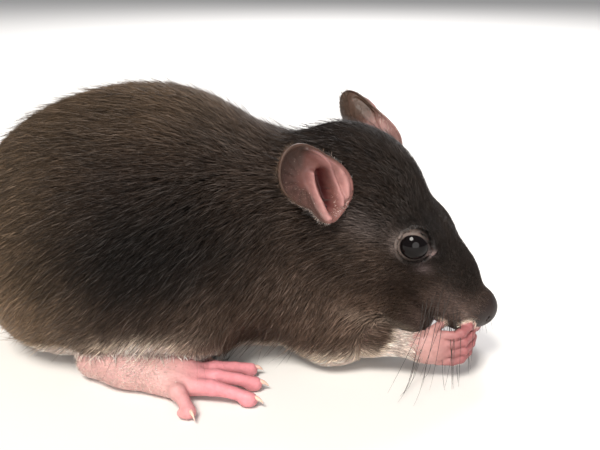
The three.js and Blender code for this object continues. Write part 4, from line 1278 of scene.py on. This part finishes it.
# short hair on the tail, lying back along it
C, R = tail_line(400)
n = 9000
u = rng.random(n) ** 1.1
a = rng.uniform(-0.35, math.pi + 0.35, n)
f = u * 399
i = f.astype(int)
w = (f - i)[:, None]
c0 = C[i] * (1 - w) + C[i + 1] * w
r0 = R[i] * (1 - w[:, 0]) + R[i + 1] * w[:, 0]
D = unit(C[i + 1] - C[i])
S = unit(np.cross((0, 0, 1), D))
W = np.cross(D, S)
nrm = unit(np.cos(a)[:, None] * S + np.sin(a)[:, None] * W)
root = c0 + nrm * (r0 - 0.12)[:, None]
ln = rng.uniform(1.0, 1.9, n) * lerp(1.25, 0.8, u)
mid = root + D * (ln * 0.5)[:, None] + nrm * (ln * 0.10)[:, None]
tip = root + D * ln[:, None] + nrm * (ln * 0.16)[:, None]
for p in (root, mid, tip):
    p[:, 2] = np.maximum(p[:, 2], 0.05)
wd = rng.uniform(0.07, 0.12, n)
v, t = spikes(root, mid, tip, unit(np.cross(D, nrm)), nrm, wd, wd * 0.4)
coat_piece("coat_tail", v, t, shades(np.broadcast_to(srgb(150, 128, 116), (n, 3)).copy(), n, rng, 0.3, 4), np.stack([u * 170, a * 6], -1), points=4)


# ------------------------------------------------------------------ eyes
def ball(name, c, n, r):
    """Sphere with its pole on the eye's axis and a slightly raised cornea."""
    n = unit(n)
    s = unit(np.cross((0, 0, 1), n))
    w = np.cross(n, s)
    rows, seg = 48, 64
    th = np.pi * np.arange(1, rows) / rows
    ph = 2 * np.pi * np.arange(seg) / seg
    rr = r + 0.16 * np.exp(-((th / 0.75) ** 2))
    ring = np.sin(th)[:, None, None] * (np.cos(ph)[None, :, None] * s + np.sin(ph)[None, :, None] * w) + np.cos(th)[:, None, None] * n
    V = c + (rr[:, None, None] * ring).reshape(-1, 3)
    V = np.concatenate([V, [c + n * (r + 0.16)], [c - n * r]])
    i, k = np.meshgrid(np.arange(rows - 2), np.arange(seg), indexing="ij")
    p, q = (i * seg + k).ravel(), (i * seg + (k + 1) % seg).ravel()
    T = np.concatenate([np.stack([p, p + seg, q + seg], 1), np.stack([p, q + seg, q], 1)])
    k = np.arange(seg)
    o = (rows - 2) * seg
    top, bot = (rows - 1) * seg, (rows - 1) * seg + 1
    T = np.concatenate([T, np.stack([np.full(seg, top), k, (k + 1) % seg], 1), np.stack([np.full(seg, bot), o + (k + 1) % seg, o + k], 1)])
    return obj(name, V, T)


EYE_M = plain("wet_dark_eye", (0.003, 0.002, 0.002), 0.035, Specular_IOR_Level=0.16)
for s, c, n, t, b in eye_frames():
    name = "right" if s < 0 else "left"
    e = ball("eyeball_" + name, from_head(c), n @ HA, EYE_R - 0.02)
    e.data.materials.append(EYE_M)
    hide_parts("eye_" + name)


# ------------------------------------------------------------------ claws and whiskers
def join(parts):
    off, V, T = 0, [], []
    for v, t in parts:
        V.append(v)
        T.append(t + off)
        off += len(v)
    return np.concatenate(V), np.concatenate(T)


claws = []
for s in (-1, 1):
    for a, b, r0, r1 in TOES:
        a, b = np.array(a), np.array(b)
        d = unit((b - a) * (1, 1, 0))
        t = np.linspace(0, 1, 9)
        p = b + np.array([0, 0, 0.35]) + d * (0.5 + 2.4 * t)[:, None] + np.array([0, 0, 1]) * (0.3 * np.sin(t * 2.2) - 1.3 * t**2)[:, None]
        r = 0.52 * (1 - t**1.5) + 0.06
        p[:, 2] = np.maximum(p[:, 2], r * 0.9)
        p[:, 1] *= s
        claws.append(tube_mesh(p, r, 10, squash=1.15))
    for k in range(4):
        tip = np.array(finger(k)[-1][0])
        t = np.linspace(0, 1, 7)
        p = tip + np.array([0.35, 0.5, 0.1]) + np.array([0.1, 1.0, -0.1]) * (1.9 * t)[:, None] + np.array([-0.5, 0, -0.5]) * (t**2)[:, None]
        if s > 0:
            p = across(p)
        claws.append(tube_mesh(p, 0.4 * (1 - t**1.5) + 0.06, 8))
v, t = join(claws)
claw = obj("claws", v, t)
claw.data.materials.append(plain("pale_horn", tuple(srgb(214, 178, 160)), 0.25, Subsurface_Weight=0.2, Subsurface_Scale=0.001))

whisk = []
for s in (-1, 1):
    for p, size in pad_points():
        L0 = lerp(13, 24, size) * rng.uniform(0.85, 1.1)
        out = np.array([0.25 - 0.55 * size, -0.42 - 0.2 * size, -0.9 + 0.05 * p[2] + 0.35 * size]) + rng.normal(0, 0.13, 3)
        out = unit(out if s < 0 else out - 2 * (out @ L) * L)
        t = np.linspace(0, 1, 12)
        w = from_head(p * (1, s, 1) - np.array([0, 0.3 * s, 0])) + out * (L0 * t)[:, None]
        w = w + np.array([-0.6, 0, -0.8]) * (0.008 * (L0 * t) ** 2)[:, None]
        w[:, 2] = np.where(w[:, 2] < 3, 3 - 2.65 * (1 - np.exp(-(3 - w[:, 2]) / 2.65)), w[:, 2])
        whisk.append(tube_mesh(w, 0.075 * (1 - t) ** 0.8 + 0.015, 5, up=(0.3, 0.2, 1)))
v, t = join(whisk)
wh = obj("whiskers", v, t)
wh.data.materials.append(plain("whisker", tuple(srgb(48, 41, 37)), 0.35, Specular_IOR_Level=0.3))

# ------------------------------------------------------------------ floor, light, camera
me = bpy.data.meshes.new("floor")
me.from_pydata([(-15, -15, 0), (15, -15, 0), (15, 15, 0), (-15, 15, 0)], [], [(0, 1, 2, 3)])
floor = bpy.data.objects.new("floor", me)
bpy.context.scene.collection.objects.link(floor)
fm, nt, b = material("pale_floor")
b.inputs["Base Color"].default_value = (0.74, 0.72, 0.69, 1)
b.inputs["Roughness"].default_value = 0.75
floor.data.materials.append(fm)


def lamp(name, at, to, size, power, colour=(1, 1, 1)):
    d = bpy.data.lights.new(name, "AREA")
    d.shape = "DISK"
    d.size, d.energy, d.color = size, power, colour
    o = bpy.data.objects.new(name, d)
    o.location = at
    v = np.array(to, float) - np.array(at, float)
    from mathutils import Vector

    o.rotation_mode = "QUATERNION"
    o.rotation_quaternion = Vector(v).to_track_quat("-Z", "Y")
    bpy.context.scene.collection.objects.link(o)
    return o


lamp("key", (-0.25, -0.5, 0.85), (0, 0, 0.03), 0.4, 13, (1.0, 0.96, 0.9))
lamp("back", (0.1, 0.75, 0.7), (0, 0, 0.03), 0.6, 10, (0.98, 0.98, 1.0))
lamp("fill", (0.2, -1.0, 0.25), (0, 0, 0.03), 0.9, 8, (1.0, 0.97, 0.94))
world = bpy.data.worlds.new("studio")
bpy.context.scene.world = world
world.use_nodes = True
bg = world.node_tree.nodes["Background"]
bg.inputs["Color"].default_value = (0.9, 0.93, 1.0, 1)
bg.inputs["Strength"].default_value = 0.34

cam = bpy.data.cameras.new("camera")
cam.lens, cam.sensor_width = 45.0, 36.0
cam.clip_start, cam.clip_end = 0.01, 20
co = bpy.data.objects.new("camera", cam)
co.location = (BELLY_X * MM, -0.173, 0.091)
co.rotation_euler = (math.radians(70), 0, 0)
bpy.context.scene.collection.objects.link(co)
bpy.context.scene.camera = co
bpy.context.scene.view_settings.view_transform = "Standard"
